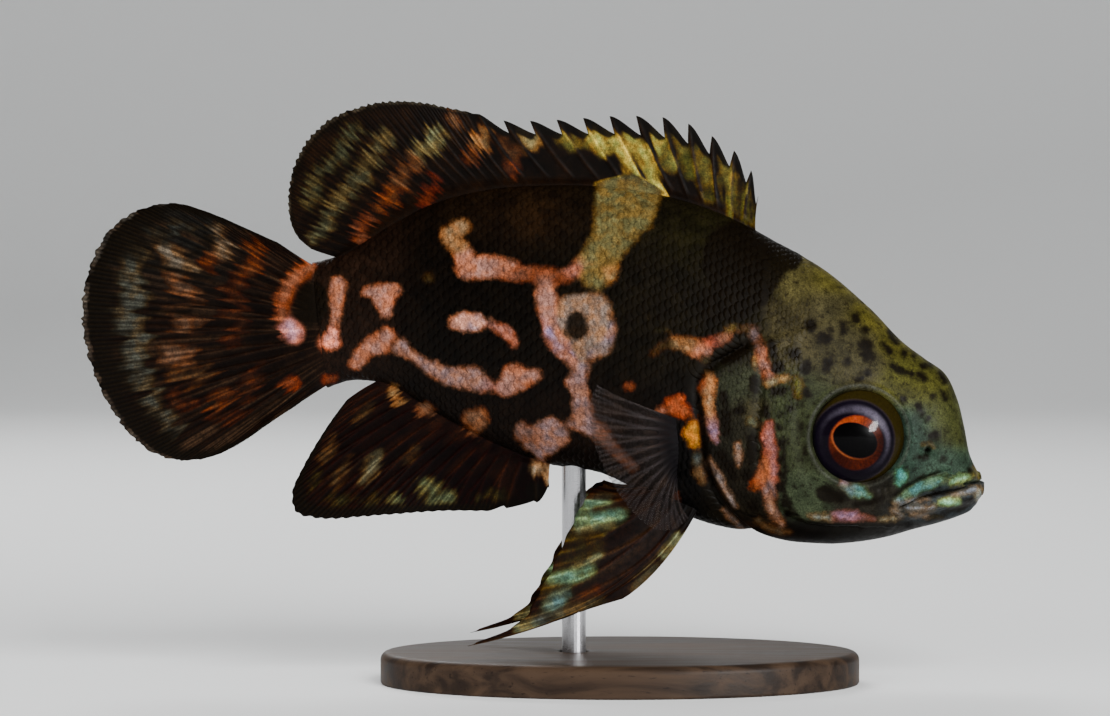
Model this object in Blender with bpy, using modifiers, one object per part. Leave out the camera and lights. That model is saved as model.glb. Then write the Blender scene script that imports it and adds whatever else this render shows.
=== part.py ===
"""Life-size model of a young oscar fish, held over a small oval display stand by one rod.

X runs forward from the middle of the stand to the snout, Z runs up from the table, and the fish's
right side faces -Y. The fish is pitched head-down, as it swims in the photo. Sizes are in millimetres
and are turned into metres by MM when the meshes are made.
"""

from math import ceil, copysign, cos, pi, radians, sin

import bmesh
import bpy
from mathutils import Matrix, Vector

MM = 0.001
GAP = 0.3
AHEAD, BELOW, ABOVE = 60.0, 0.0, 70.0
CUTTER_HALF_DEPTH = 20.0

# Each body station from snout to tail stalk: back (x, z), belly (x, z), half width, the widest level as a
# share of the way from belly to back, and the fullness of the section above and below that level.
BODY_STATIONS = [
    ((35.8, 21.3), (36.1, 18.9), 1.5, 0.50, 2.2, 2.2),
    ((34.95, 23.2), (35.4, 17.5), 2.7, 0.45, 2.2, 2.2),
    ((34.4, 26.0), (33.8, 16.7), 3.6, 0.42, 2.2, 2.2),
    ((33.7, 28.7), (31.6, 16.0), 4.3, 0.42, 2.3, 2.2),
    ((32.5, 31.1), (29.2, 15.4), 4.9, 0.42, 2.4, 2.2),
    ((30.4, 32.65), (26.6, 14.7), 5.4, 0.44, 2.4, 2.2),
    ((28.0, 34.5), (23.6, 14.3), 5.9, 0.45, 2.3, 2.2),
    ((24.8, 37.8), (20.2, 14.3), 6.4, 0.44, 2.2, 2.2),
    ((20.4, 41.5), (16.6, 14.6), 6.8, 0.43, 2.0, 2.2),
    ((15.6, 44.2), (12.6, 15.3), 7.0, 0.43, 1.9, 2.1),
    ((10.4, 46.9), (8.2, 16.3), 7.0, 0.44, 1.85, 2.0),
    ((5.0, 48.7), (3.4, 18.5), 6.8, 0.45, 1.8, 2.0),
    ((-1.0, 49.7), (-1.8, 21.1), 6.3, 0.46, 1.8, 2.0),
    ((-7.0, 49.9), (-7.4, 22.1), 5.7, 0.47, 1.8, 1.9),
    ((-13.0, 49.5), (-13.0, 24.3), 4.9, 0.48, 1.8, 1.9),
    ((-18.6, 48.1), (-18.2, 27.0), 4.0, 0.49, 1.8, 1.9),
    ((-23.6, 45.5), (-22.8, 29.8), 3.1, 0.50, 1.9, 1.9),
    ((-27.6, 43.0), (-26.6, 30.4), 2.4, 0.50, 2.0, 2.0),
    ((-30.8, 42.1), (-29.3, 29.6), 1.8, 0.50, 2.0, 2.0),
]
SNOUT_TIP = (36.2, 20.2)
HEAD_STATIONS, HEAD_ROWS, TRUNK_ROWS = 10, 4, 3
RING_POINTS = 44

# The tail sways away from the camera behind this x, by this much at the end of the tail fin.
SWAY_START, SWAY_END, SWAY = -8.0, -54.0, 3.0

EYE_CENTRE, EYE_RADIUS, EYE_HALF_THICKNESS = (23.5, 4.8, 25.1), 4.8, 2.4
EYE_TURN = radians(8)

# The gill opening, from the nape down and back round the gill cover to the throat.
GILL_OPENING = [(16.2, 47.0), (14.4, 40.0), (12.5, 34.6), (9.7, 32.5), (8.0, 30.8), (7.7, 28.5),
                (8.0, 25.2), (8.3, 22.6), (9.1, 20.2), (10.8, 17.6), (13.4, 15.4), (16.5, 12.5)]
GILL_COVER = [(12.4, 32.8), (10.0, 32.2), (8.3, 30.6), (8.0, 28.5), (8.3, 25.2), (8.6, 22.8),
              (9.4, 20.4), (11.0, 18.1), (13.4, 16.2), (16.4, 15.6), (14.6, 17.8), (13.3, 20.8),
              (12.7, 25.0), (12.6, 28.4), (13.2, 30.8)]
GILL_COVER_RAISED, GILL_COVER_THICKNESS, GILL_COVER_FROM_MIDDLE = 0.35, 1.1, 0.8
TAIL_CUT = ((-20.4, 56.0), (-18.0, 20.0))

# The mouth line from its corner to the lips, and the back of the lower jaw under it.
MOUTH_LINE = [(27.8, 17.9), (29.6, 18.8), (31.9, 19.4), (33.6, 19.6), (35.2, 20.1), (AHEAD, 20.6)]
JAW_BACK = [(25.8, 12.0), (26.2, 14.8), (26.8, 16.8)]

# Folds of the head as (name, points, half width, height): ridges stand out, grooves are negative.
HEAD_FOLDS = [
    ("upper lip", [(28.0, 18.9), (30.0, 19.8), (33.0, 20.5), (36.6, 21.0)], 0.70, 0.50),
    ("lower lip", [(28.8, 17.2), (31.0, 18.0), (33.6, 18.7), (36.8, 19.2)], 0.75, 0.45),
    ("crease above the upper lip", [(27.2, 19.5), (29.2, 20.9), (31.4, 21.8), (33.4, 22.2)], 0.6, -0.35),
    ("crease under the lower lip", [(30.4, 16.9), (32.8, 17.3), (35.2, 17.8)], 0.6, -0.20),
    ("cheek edge", [(14.9, 30.4), (14.3, 26.0), (14.6, 21.0), (16.6, 17.4), (20.4, 16.4), (25.6, 16.3)], 0.9, 0.35),
    ("groove behind the cheek edge", [(13.4, 30.0), (12.9, 26.0), (13.3, 20.6), (15.4, 16.8)], 0.7, -0.25),
    ("rim of the orbit", [(28.6, 25.1), (27.1, 28.7), (23.5, 30.2), (19.9, 28.7), (18.4, 25.1),
                          (19.9, 21.5), (23.5, 20.0), (27.1, 21.5), (28.6, 25.1)], 0.7, 0.30),
    ("nostril rim", [(31.5, 23.2), (31.2, 24.0), (30.5, 23.9), (30.4, 23.2)], 0.6, 0.30),
]
NOSTRIL_STATION, NOSTRIL_DEGREES, NOSTRIL_RADIUS = 4.2, 7.0, 0.5

DORSAL_SPINES, DORSAL_SOFT_RAYS = 13, 20
DORSAL_SPINE_BASE, DORSAL_SOFT_BASE = (13.5, -12.6), (-14.2, -28.4)
DORSAL_SPINE_TIPS = [(13.8, 48.8), (12.9, 51.7), (10.7, 53.8), (6.0, 56.3), (0.6, 56.8),
                     (-6.2, 56.4), (-11.4, 56.3), (-14.2, 57.0)]
DORSAL_SOFT_TIPS = [(-16.4, 57.5), (-20.5, 58.3), (-25.0, 58.1), (-29.5, 56.3), (-32.4, 52.8),
                    (-33.3, 48.6), (-32.7, 45.3), (-31.0, 43.6)]

ANAL_SPINES, ANAL_SOFT_RAYS = 3, 16
ANAL_SPINE_BASE, ANAL_SOFT_BASE = (-7.0, -9.6), (-10.6, -24.4)
ANAL_SPINE_TIPS = [(-7.1, 19.6), (-8.3, 18.1), (-11.4, 17.5)]
ANAL_SOFT_TIPS = [(-13.4, 17.2), (-18.0, 17.2), (-24.0, 16.8), (-29.5, 16.4), (-32.5, 17.0),
                  (-33.0, 18.8), (-31.6, 22.0), (-29.4, 25.6), (-27.4, 28.3)]

TAIL_RAYS = 16
TAIL_TIPS = [(-34.5, 44.2), (-39.0, 46.2), (-44.5, 48.1), (-49.0, 47.2), (-52.3, 44.2), (-54.1, 38.8),
             (-53.9, 33.8), (-52.2, 28.8), (-49.2, 24.4), (-45.0, 22.1), (-40.0, 22.9), (-35.6, 26.0)]
TAIL_ROOT_HALF_THICKNESS = 1.1

# Rays of a paired fin on the fish's right side, front to back or top to bottom: root as a station and an
# angle round the section from the side, tip (x, y, z), and how far the ray bows.
PELVIC_RAYS = [
    ((10.10, -66), (0.2, -4.8, 8.9), (4.6, -4.5, 11.6)),
    ((10.20, -66), (-15.0, -6.4, 4.4), (3.2, -5.4, 8.2)),
    ((10.36, -66), (-10.4, -6.0, 6.5), (2.8, -5.0, 9.8)),
    ((10.52, -66), (-7.8, -5.4, 10.4), (1.6, -4.6, 12.6)),
    ((10.68, -66), (-5.4, -4.6, 15.2), (0.8, -3.8, 15.8)),
    ((10.82, -66), (-3.4, -3.6, 19.0), (0.4, -3.2, 18.4)),
    ((10.94, -67), (-1.6, -2.8, 20.2), (0.6, -2.8, 19.2)),
]
PECTORAL_TOP, PECTORAL_BOTTOM = (10.46, -19.0), (10.50, -50.0)
PECTORAL_RAYS = 13
PECTORAL_TIPS = [(-2.5, -17.0, 30.8), (-3.2, -18.2, 28.9), (-3.0, -19.0, 26.0), (-2.0, -18.9, 23.2),
                 (-0.6, -18.0, 20.6), (1.2, -16.6, 18.2), (3.2, -14.6, 16.6), (5.2, -12.4, 16.4),
                 (6.6, -10.8, 17.4)]

# Ray and membrane thickness at the root, at four fifths of the way out and at the edge.
RAY_THICKNESS, MEMBRANE_THICKNESS = (1.0, 0.62, 0.36), (0.70, 0.50, 0.24)

BASE_LENGTH, BASE_WIDTH, BASE_THICKNESS, BASE_BEVEL = 48.0, 30.0, 3.2, 0.8
ROD_X, ROD_RADIUS, ROD_IN_BASE, ROD_IN_BODY = -4.6, 1.2, 1.4, 3.0

COLOURS = {
    "head": (0.20, 0.20, 0.09, 1),
    "flank": (0.06, 0.04, 0.03, 1),
    "fins": (0.16, 0.09, 0.05, 1),
    "pectoral": (0.16, 0.14, 0.14, 1),
    "eye": (0.08, 0.03, 0.05, 1),
    "stand": (0.03, 0.03, 0.032, 1),
    "rod": (0.60, 0.60, 0.62, 1),
}


def clear_scene():
    for obj in list(bpy.data.objects):
        bpy.data.objects.remove(obj, do_unlink=True)


def collection(name, hidden=False):
    made = bpy.data.collections.new(name)
    made.hide_render = hidden
    bpy.context.scene.collection.children.link(made)
    return made


def material(name, colour, roughness=0.45, metallic=0.0):
    made = bpy.data.materials.new(name)
    made.use_nodes = True
    shader = made.node_tree.nodes["Principled BSDF"]
    shader.inputs["Base Color"].default_value = colour
    shader.inputs["Roughness"].default_value = roughness
    shader.inputs["Metallic"].default_value = metallic
    return made


def curve_point(points, t):
    """The point at t, counted in points, on a smooth curve through them."""
    last = len(points) - 1
    i = min(max(int(t), 0), last - 1)
    f = t - i
    before, start = points[max(i - 1, 0)], points[i]
    end, after = points[i + 1], points[min(i + 2, last)]
    return tuple(
        0.5 * (2 * b + (c - a) * f + (2 * a - 5 * b + 4 * c - d) * f * f + (3 * b - a - 3 * c + d) * f ** 3)
        for a, b, c, d in zip(before, start, end, after)
    )


def smooth_curve(points, per_segment):
    steps = (len(points) - 1) * per_segment
    return [curve_point(points, i / per_segment) for i in range(steps + 1)]


def evenly_along(points, count):
    """Points at equal distances along the smooth curve through the given ones."""
    fine = [Vector(p) for p in smooth_curve(points, 12)]
    run = [0.0]
    for a, b in zip(fine, fine[1:]):
        run.append(run[-1] + (b - a).length)
    found = []
    for i in range(count):
        target = run[-1] * i / (count - 1)
        k = min(next((n for n, r in enumerate(run) if r >= target), len(run) - 1), len(run) - 1)
        k = max(k, 1)
        f = (target - run[k - 1]) / max(run[k] - run[k - 1], 1e-9)
        found.append(fine[k - 1].lerp(fine[k], f))
    return found


FLAT_STATIONS = [(*back, *belly, *rest) for back, belly, *rest in BODY_STATIONS]


def sway(x):
    share = min(max((SWAY_START - x) / (SWAY_START - SWAY_END), 0.0), 1.2)
    return SWAY * share * share


def body_point(station, angle, inset=0.0):
    """A point of the body's surface: angle is 0 on the left side, 90 on the back and -90 on the belly."""
    bx, bz, ux, uz, half_width, level, above, below = curve_point(FLAT_STATIONS, station)
    back, belly = Vector((bx, bz)), Vector((ux, uz))
    up = (back - belly).normalized()
    back, belly = back - up * inset, belly + up * inset
    middle = belly.lerp(back, level)
    across, along = cos(angle), sin(angle)
    fullness = above if along > 0 else below
    side = copysign(abs(across) ** (2 / fullness), across) * max(half_width - inset, 0.2)
    height = abs(along) ** (2 / fullness)
    place = middle.lerp(back if along > 0 else belly, height)
    return Vector((place.x, side + sway(place.x), place.y))


def body_normal(station, angle):
    step = 0.02
    along = body_point(station + step, angle) - body_point(station - step, angle)
    around = body_point(station, angle + step) - body_point(station, angle - step)
    return along.cross(around).normalized()


def station_at(x, angle):
    """The station where the line of the body at that angle passes x."""
    low, high = 0.0, float(len(BODY_STATIONS) - 1)
    for _ in range(40):
        mid = (low + high) / 2
        if body_point(mid, angle).x > x:
            low = mid
        else:
            high = mid
    return low


def distance_to_line(x, z, points):
    best = 1e9
    place = Vector((x, z))
    for a, b in zip(points, points[1:]):
        a, b = Vector(a), Vector(b)
        run = b - a
        share = min(max((place - a).dot(run) / max(run.length_squared, 1e-12), 0.0), 1.0)
        best = min(best, (place - a - run * share).length)
    return best


def fold_height(x, z):
    """How far the folds of the head lift the skin at a place seen from the side."""
    height = 0.0
    for _name, points, half_width, rise in HEAD_FOLDS:
        near = distance_to_line(x, z, points) / half_width
        if near < 1.6:
            height += rise * cos(min(near / 1.6, 1.0) * pi / 2) ** 2
    return height


def mesh_object(name, points, faces, home):
    mesh = bpy.data.meshes.new(name)
    mesh.from_pydata([tuple(c * MM for c in p) for p in points], [], faces)
    mesh.validate()
    made = bpy.data.objects.new(name, mesh)
    home.objects.link(made)
    return made


def face_outwards(obj):
    work = bmesh.new()
    work.from_mesh(obj.data)
    bmesh.ops.recalc_face_normals(work, faces=work.faces)
    work.to_mesh(obj.data)
    work.free()


def body_loft(name, home, inset=0.0):
    """The whole body from the lips to the root of the tail fin as one closed skin."""
    last = len(BODY_STATIONS) - 1
    stations = [i / HEAD_ROWS for i in range(HEAD_STATIONS * HEAD_ROWS)]
    stations += [HEAD_STATIONS + i / TRUNK_ROWS for i in range((last - HEAD_STATIONS) * TRUNK_ROWS + 1)]
    points, faces = [], []
    for station in stations:
        for j in range(RING_POINTS):
            angle = 2 * pi * j / RING_POINTS
            place = body_point(station, angle, inset)
            if station < HEAD_STATIONS and inset <= 0:
                place += body_normal(max(station, 0.05), angle) * fold_height(place.x, place.z)
            points.append(place)
    n = RING_POINTS
    for i in range(len(stations) - 1):
        for j in range(n):
            k = (j + 1) % n
            faces.append((i * n + j, i * n + k, (i + 1) * n + k, (i + 1) * n + j))
    tip = len(points)
    points.append(Vector((SNOUT_TIP[0] - inset, 0.0, SNOUT_TIP[1])))
    faces += [(tip, (j + 1) % n, j) for j in range(n)]
    end = (len(stations) - 1) * n
    faces.append(tuple(end + j for j in range(n)))
    made = mesh_object(name, points, faces, home)
    face_outwards(made)
    return made


def prism(name, outline, home, near_y=-CUTTER_HALF_DEPTH, far_y=CUTTER_HALF_DEPTH):
    """A closed block with the given outline in side view, used to part the body."""
    work = bmesh.new()
    ring = [work.verts.new((x * MM, near_y * MM, z * MM)) for x, z in outline]
    face = work.faces.new(ring)
    pushed = bmesh.ops.extrude_face_region(work, geom=[face])
    moved = [v for v in pushed["geom"] if isinstance(v, bmesh.types.BMVert)]
    bmesh.ops.translate(work, verts=moved, vec=(0, (far_y - near_y) * MM, 0))
    bmesh.ops.recalc_face_normals(work, faces=work.faces)
    mesh = bpy.data.meshes.new(name)
    work.to_mesh(mesh)
    work.free()
    made = bpy.data.objects.new(name, mesh)
    made.display_type = "WIRE"
    made.hide_render = True
    home.objects.link(made)
    return made


def grown(outline, by):
    """The closed outline moved outwards by that distance."""
    area = sum(a[0] * b[1] - b[0] * a[1] for a, b in zip(outline, outline[1:] + outline[:1]))
    turn = 1.0 if area > 0 else -1.0
    found = []
    for i, here in enumerate(outline):
        before, after = Vector(outline[i - 1]), Vector(outline[(i + 1) % len(outline)])
        first = (Vector(here) - before).normalized()
        second = (after - Vector(here)).normalized()
        normal = Vector((first.y + second.y, -(first.x + second.x))).normalized() * turn
        miter = max(normal.dot(Vector((second.y, -second.x)) * turn), 0.5)
        found.append((here[0] + normal.x * by / miter, here[1] + normal.y * by / miter))
    return found


def cut(obj, operation, cutter):
    modifier = obj.modifiers.new(f"{operation.lower()} {cutter.name}", "BOOLEAN")
    modifier.operation = operation
    modifier.object = cutter
    modifier.solver = "MANIFOLD"


def hide(obj):
    obj.hide_render = True
    obj.display_type = "WIRE"


def make_body(parts, cutters):
    """Head, lower jaw, gill covers, torso and tail stalk, parted from one skin by thin cuts."""
    opening = smooth_curve(GILL_OPENING, 3)
    jaw_outline = smooth_curve(JAW_BACK + MOUTH_LINE[:-1], 3) + [MOUTH_LINE[-1], (AHEAD, 12.0)]
    head_block = prism("head_block", [(AHEAD, BELOW), (AHEAD, ABOVE), (16.2, ABOVE)] + opening
                       + [(opening[-1][0], BELOW)], cutters)
    jaw_block = prism("jaw_block", jaw_outline, cutters)
    jaw_room = prism("jaw_room", grown(jaw_outline, GAP), cutters)
    (top_x, top_z), (low_x, low_z) = TAIL_CUT
    behind = [(x - GAP, z) for x, z in opening]
    torso_block = prism("torso_block", [(behind[0][0], ABOVE)] + behind
                        + [(behind[-1][0], BELOW), (low_x, BELOW), (low_x, low_z), (top_x, top_z),
                           (top_x, ABOVE)], cutters)
    tail_block = prism("tail_block", [(top_x - GAP, ABOVE), (top_x - GAP, top_z), (low_x - GAP, low_z),
                                      (low_x - GAP, BELOW), (-AHEAD, BELOW), (-AHEAD, ABOVE)], cutters)

    head = body_loft("head", parts)
    jaw = body_loft("lower_jaw", parts)
    torso = body_loft("torso", parts)
    tail = body_loft("tail_stalk", parts)
    cut(head, "INTERSECT", head_block)
    cut(head, "DIFFERENCE", jaw_room)
    cut(jaw, "INTERSECT", jaw_block)
    cut(torso, "INTERSECT", torso_block)
    cut(tail, "INTERSECT", tail_block)

    cover_outline = smooth_curve(GILL_COVER + GILL_COVER[:1], 2)[:-1]
    under_cover = body_loft("under_cover", cutters, inset=GILL_COVER_THICKNESS)
    pocket_floor = body_loft("pocket_floor", cutters, inset=GILL_COVER_THICKNESS + GAP)
    for side, word in ((-1, "right"), (1, "left")):
        ends = sorted((side * GILL_COVER_FROM_MIDDLE, side * CUTTER_HALF_DEPTH))
        block = prism(f"gill_block_{word}", cover_outline, cutters, *ends)
        cover = body_loft(f"gill_cover_{word}", parts, inset=-GILL_COVER_RAISED)
        cut(cover, "INTERSECT", block)
        cut(cover, "DIFFERENCE", under_cover)
        room_ends = sorted((side * (GILL_COVER_FROM_MIDDLE - GAP), side * CUTTER_HALF_DEPTH))
        pocket = prism(f"gill_pocket_{word}", grown(cover_outline, GAP), cutters, *room_ends)
        cut(pocket, "DIFFERENCE", pocket_floor)
        cut(head, "DIFFERENCE", pocket)
        cut(torso, "DIFFERENCE", pocket)
    hide(under_cover)
    hide(pocket_floor)
    return head, torso


def eye_ball(name, side, grow, home):
    """One eye as a flattened ball, or its socket where grow is more than nothing."""
    x, y, z = EYE_CENTRE
    bpy.ops.mesh.primitive_uv_sphere_add(segments=24, ring_count=14, radius=MM)
    ball = bpy.context.object
    ball.name = name
    size = Matrix.Diagonal((EYE_RADIUS + grow, EYE_RADIUS + grow, EYE_HALF_THICKNESS + grow, 1))
    ball.data.transform(Matrix.Translation(Vector((x, side * y, z)) * MM)
                        @ Matrix.Rotation(-side * EYE_TURN, 4, "Z")
                        @ Matrix.Rotation(pi / 2, 4, "X") @ size)
    ball.data.shade_smooth()
    for holder in list(ball.users_collection):
        holder.objects.unlink(ball)
    home.objects.link(ball)
    return ball


def make_eyes(parts, cutters, head):
    for side, word in ((-1, "right"), (1, "left")):
        eye_ball(f"eye_{word}", side, 0.0, parts)
        socket = eye_ball(f"eye_socket_{word}", side, GAP, cutters)
        hide(socket)
        cut(head, "DIFFERENCE", socket)


def make_nostrils(cutters, head):
    for side, word in ((-1, "right"), (1, "left")):
        angle = radians(NOSTRIL_DEGREES)
        place = body_point(NOSTRIL_STATION, angle)
        bpy.ops.mesh.primitive_uv_sphere_add(segments=10, ring_count=6, radius=NOSTRIL_RADIUS * MM)
        pit = bpy.context.object
        pit.name = f"nostril_{word}"
        pit.data.transform(Matrix.Translation(Vector((place.x, side * place.y, place.z)) * MM))
        for holder in list(pit.users_collection):
            holder.objects.unlink(pit)
        cutters.objects.link(pit)
        hide(pit)
        cut(head, "DIFFERENCE", pit)


def thickness_at(sizes, share):
    root, outer, edge = sizes
    if share < 0.8:
        return root + (outer - root) * share / 0.8
    return outer + (edge - outer) * (share - 0.8) / 0.2


def ray_curve(root, bow, tip, rows):
    """Points along one ray, from its root to its tip."""
    return [root * (1 - t) ** 2 + bow * 2 * t * (1 - t) + tip * t * t
            for t in (i / rows for i in range(rows + 1))]


def fin(name, rays, rows, home, notches, lean=0.5, root_thickness=None, across=None):
    """A closed fin from its rays' curves: each ray is a ridge, and the membrane between two rays is
    thinner and ends short of their tips by its notch, nearer to the first of them where lean is low."""
    columns = []
    for k, ray in enumerate(rays):
        columns.append((ray, RAY_THICKNESS))
        if k + 1 < len(rays):
            between = []
            for i in range(rows + 1):
                share = i / rows
                f = 0.5 + (lean - 0.5) * share
                place = ray[i].lerp(rays[k + 1][i], f)
                root = ray[0].lerp(rays[k + 1][0], 0.5)
                between.append(place.lerp(root, notches[k] * share ** 3))
            columns.append((between, MEMBRANE_THICKNESS))
    points = []
    last = len(columns) - 1
    for c, (line, sizes) in enumerate(columns):
        before, after = columns[max(c - 1, 0)][0], columns[min(c + 1, last)][0]
        for i in range(rows + 1):
            normal = across
            if normal is None:
                out = line[min(i + 1, rows)] - line[max(i - 1, 0)]
                normal = (after[i] - before[i]).cross(out).normalized()
            thick = thickness_at(sizes, i / rows)
            if root_thickness:
                blend = max(1 - i / rows * 2.5, 0.0)
                thick += (root_thickness - thick) * blend ** 1.5
            points.append(line[i] + normal * thick / 2)
            points.append(line[i] - normal * thick / 2)
    faces = []

    def corner(c, i, face):
        return (c * (rows + 1) + i) * 2 + face

    for c in range(last):
        for i in range(rows):
            for face in (0, 1):
                a, b = corner(c, i, face), corner(c + 1, i, face)
                d, e = corner(c + 1, i + 1, face), corner(c, i + 1, face)
                both = [(a, b, d), (a, d, e)] if c % 2 else [(a, b, e), (b, d, e)]
                faces += both if face else [tuple(reversed(f)) for f in both]
    for c in range(last):
        for i in (0, rows):
            faces.append((corner(c, i, 0), corner(c + 1, i, 0), corner(c + 1, i, 1), corner(c, i, 1)))
    for i in range(rows):
        for c in (0, last):
            faces.append((corner(c, i, 0), corner(c, i + 1, 0), corner(c, i + 1, 1), corner(c, i, 1)))
    made = mesh_object(name, points, faces, home)
    face_outwards(made)
    return made


def ripple(share, u, height):
    """The sideways wave of a loosely held fin: u runs along its base, share out to its edge."""
    return height * share * share * sin(2 * pi * u)


def middle_fin_rays(roots, tips, bow, rows, wave):
    """Rays of a fin on the fish's middle plane; roots and tips are (x, z) places."""
    rays = []
    for k, (root, tip) in enumerate(zip(roots, tips)):
        across = Vector((-(tip[1] - root[1]), tip[0] - root[0]))
        half = (Vector(root) + Vector(tip)) / 2 + across * bow
        line = ray_curve(Vector((*root,)), half, Vector((*tip,)), rows)
        u = k / (len(roots) - 1)
        rays.append([Vector((p.x, sway(p.x) + ripple(i / rows, 1.6 * u, wave), p.y))
                     for i, p in enumerate(line)])
    return rays


def even_numbers(first, last, count):
    return [first + (last - first) * i / (count - 1) for i in range(count)]


def edge_roots(xs, angle, outwards):
    """Places just clear of the body's edge line, where a middle fin's rays start."""
    found = []
    for x in xs:
        station = station_at(x, angle)
        here = body_point(station, angle)
        slope = body_point(station - 0.05, angle) - body_point(station + 0.05, angle)
        normal = Vector((-slope.z, slope.x)).normalized() * outwards
        found.append((here.x + normal.x * GAP, here.z + normal.y * GAP))
    return found


def make_dorsal_fin(parts):
    rows = 6
    xs = even_numbers(*DORSAL_SPINE_BASE, DORSAL_SPINES) + even_numbers(*DORSAL_SOFT_BASE, DORSAL_SOFT_RAYS)
    tips = evenly_along(DORSAL_SPINE_TIPS, DORSAL_SPINES) + evenly_along(DORSAL_SOFT_TIPS, DORSAL_SOFT_RAYS)
    rays = middle_fin_rays(edge_roots(xs, pi / 2, 1), tips, 0.05, rows, 0.5)
    notches = even_numbers(0.22, 0.12, DORSAL_SPINES) + [0.02] * (DORSAL_SOFT_RAYS - 1)
    return fin("dorsal_fin", rays, rows, parts, notches, lean=0.3, root_thickness=1.5,
               across=Vector((0, 1, 0)))


def make_anal_fin(parts):
    rows = 6
    xs = even_numbers(*ANAL_SPINE_BASE, ANAL_SPINES) + even_numbers(*ANAL_SOFT_BASE, ANAL_SOFT_RAYS)
    tips = [Vector(p) for p in ANAL_SPINE_TIPS] + evenly_along(ANAL_SOFT_TIPS, ANAL_SOFT_RAYS)
    rays = middle_fin_rays(edge_roots(xs, -pi / 2, -1), tips, -0.05, rows, 0.5)
    notches = [0.12] * ANAL_SPINES + [0.02] * (ANAL_SOFT_RAYS - 1)
    return fin("anal_fin", rays, rows, parts, notches, root_thickness=1.4, across=Vector((0, 1, 0)))


def make_tail_fin(parts):
    rows = 7
    back, belly = BODY_STATIONS[-1][0], BODY_STATIONS[-1][1]
    along = (Vector(belly) - Vector(back)).normalized()
    behind = Vector((along.y, -along.x)) * GAP
    inset = 0.5
    first, last = Vector(back) + along * inset + behind, Vector(belly) - along * inset + behind
    roots = [first.lerp(last, i / (TAIL_RAYS - 1)) for i in range(TAIL_RAYS)]
    tips = evenly_along(TAIL_TIPS, TAIL_RAYS)
    rays = middle_fin_rays(roots, tips, 0.0, rows, 0.9)
    return fin("tail_fin", rays, rows, parts, [0.03] * (TAIL_RAYS - 1), across=Vector((0, 1, 0)),
               root_thickness=2 * TAIL_ROOT_HALF_THICKNESS)


def mirrored(point, side):
    return Vector((point[0], -side * point[1], point[2]))


def skin_root(station, degrees, side):
    """A fin's root just clear of the skin, on the right side where side is -1."""
    angle = radians(degrees)
    here = body_point(station, angle) + body_normal(station, angle) * GAP * 1.4
    return Vector((here.x, side * here.y, here.z))


def make_pelvic_fin(word, side, parts):
    rows = 7
    rays = []
    for (station, degrees), tip, bow in PELVIC_RAYS:
        rays.append(ray_curve(skin_root(station, degrees, side), mirrored(bow, side), mirrored(tip, side), rows))
    notches = [0.05] * (len(rays) - 1)
    return fin(f"pelvic_fin_{word}", rays, rows, parts, notches, root_thickness=1.3)


def make_pectoral_fin(word, side, parts):
    rows = 6
    tips = evenly_along(PECTORAL_TIPS, PECTORAL_RAYS)
    (top, top_degrees), (bottom, bottom_degrees) = PECTORAL_TOP, PECTORAL_BOTTOM
    rays = []
    for k, tip in enumerate(tips):
        f = k / (PECTORAL_RAYS - 1)
        root = skin_root(top + (bottom - top) * f, top_degrees + (bottom_degrees - top_degrees) * f, side)
        tip = mirrored(tip, side)
        bow = (root + tip) / 2 + Vector((-0.8, 0.0, 0.0))
        rays.append(ray_curve(root, bow, tip, rows))
    return fin(f"pectoral_fin_{word}", rays, rows, parts, [0.03] * (PECTORAL_RAYS - 1), root_thickness=1.5)


def make_stand(parts, cutters, torso):
    """The oval base, and the rod that stands in it and enters the belly between the fins."""
    bpy.ops.mesh.primitive_cylinder_add(vertices=48, radius=0.5, depth=1.0)
    base = bpy.context.object
    base.name = "stand_base"
    base.data.transform(Matrix.Translation((0, 0, BASE_THICKNESS / 2 * MM))
                        @ Matrix.Diagonal((BASE_LENGTH * MM, BASE_WIDTH * MM, BASE_THICKNESS * MM, 1)))
    bevel = base.modifiers.new("rounded edge", "BEVEL")
    bevel.width = BASE_BEVEL * MM
    bevel.segments = 2
    bevel.limit_method = "ANGLE"
    bevel.angle_limit = radians(40)
    belly = body_point(station_at(ROD_X, -pi / 2), -pi / 2)
    foot, head = BASE_THICKNESS - ROD_IN_BASE, belly.z + ROD_IN_BODY

    def upright(name, radius, low, high, home):
        bpy.ops.mesh.primitive_cylinder_add(vertices=24, radius=radius * MM, depth=(high - low) * MM)
        made = bpy.context.object
        made.name = name
        made.data.transform(Matrix.Translation((ROD_X * MM, 0, (low + high) / 2 * MM)))
        for holder in list(made.users_collection):
            holder.objects.unlink(made)
        home.objects.link(made)
        return made

    rod = upright("stand_rod", ROD_RADIUS, foot, head, parts)
    rod_hole = upright("rod_hole", ROD_RADIUS + GAP, foot - GAP, head + GAP, cutters)
    hide(rod_hole)
    cut(base, "DIFFERENCE", rod_hole)
    cut(torso, "DIFFERENCE", rod_hole)
    for holder in list(base.users_collection):
        holder.objects.unlink(base)
    parts.objects.link(base)
    return base, rod


def paint(parts):
    finishes = {name: material(name, colour) for name, colour in COLOURS.items()}
    finishes["rod"].node_tree.nodes["Principled BSDF"].inputs["Metallic"].default_value = 1.0
    slots = {"head": "head", "lower_jaw": "head", "gill": "head", "torso": "flank", "tail_stalk": "flank",
             "eye": "eye", "dorsal": "fins", "anal": "fins", "tail_fin": "fins", "pelvic": "fins",
             "pectoral": "pectoral", "stand_base": "stand", "stand_rod": "rod"}
    for obj in parts.objects:
        slot = next(finish for start, finish in slots.items() if obj.name.startswith(start))
        obj.data.materials.clear()
        obj.data.materials.append(finishes[slot])


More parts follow.
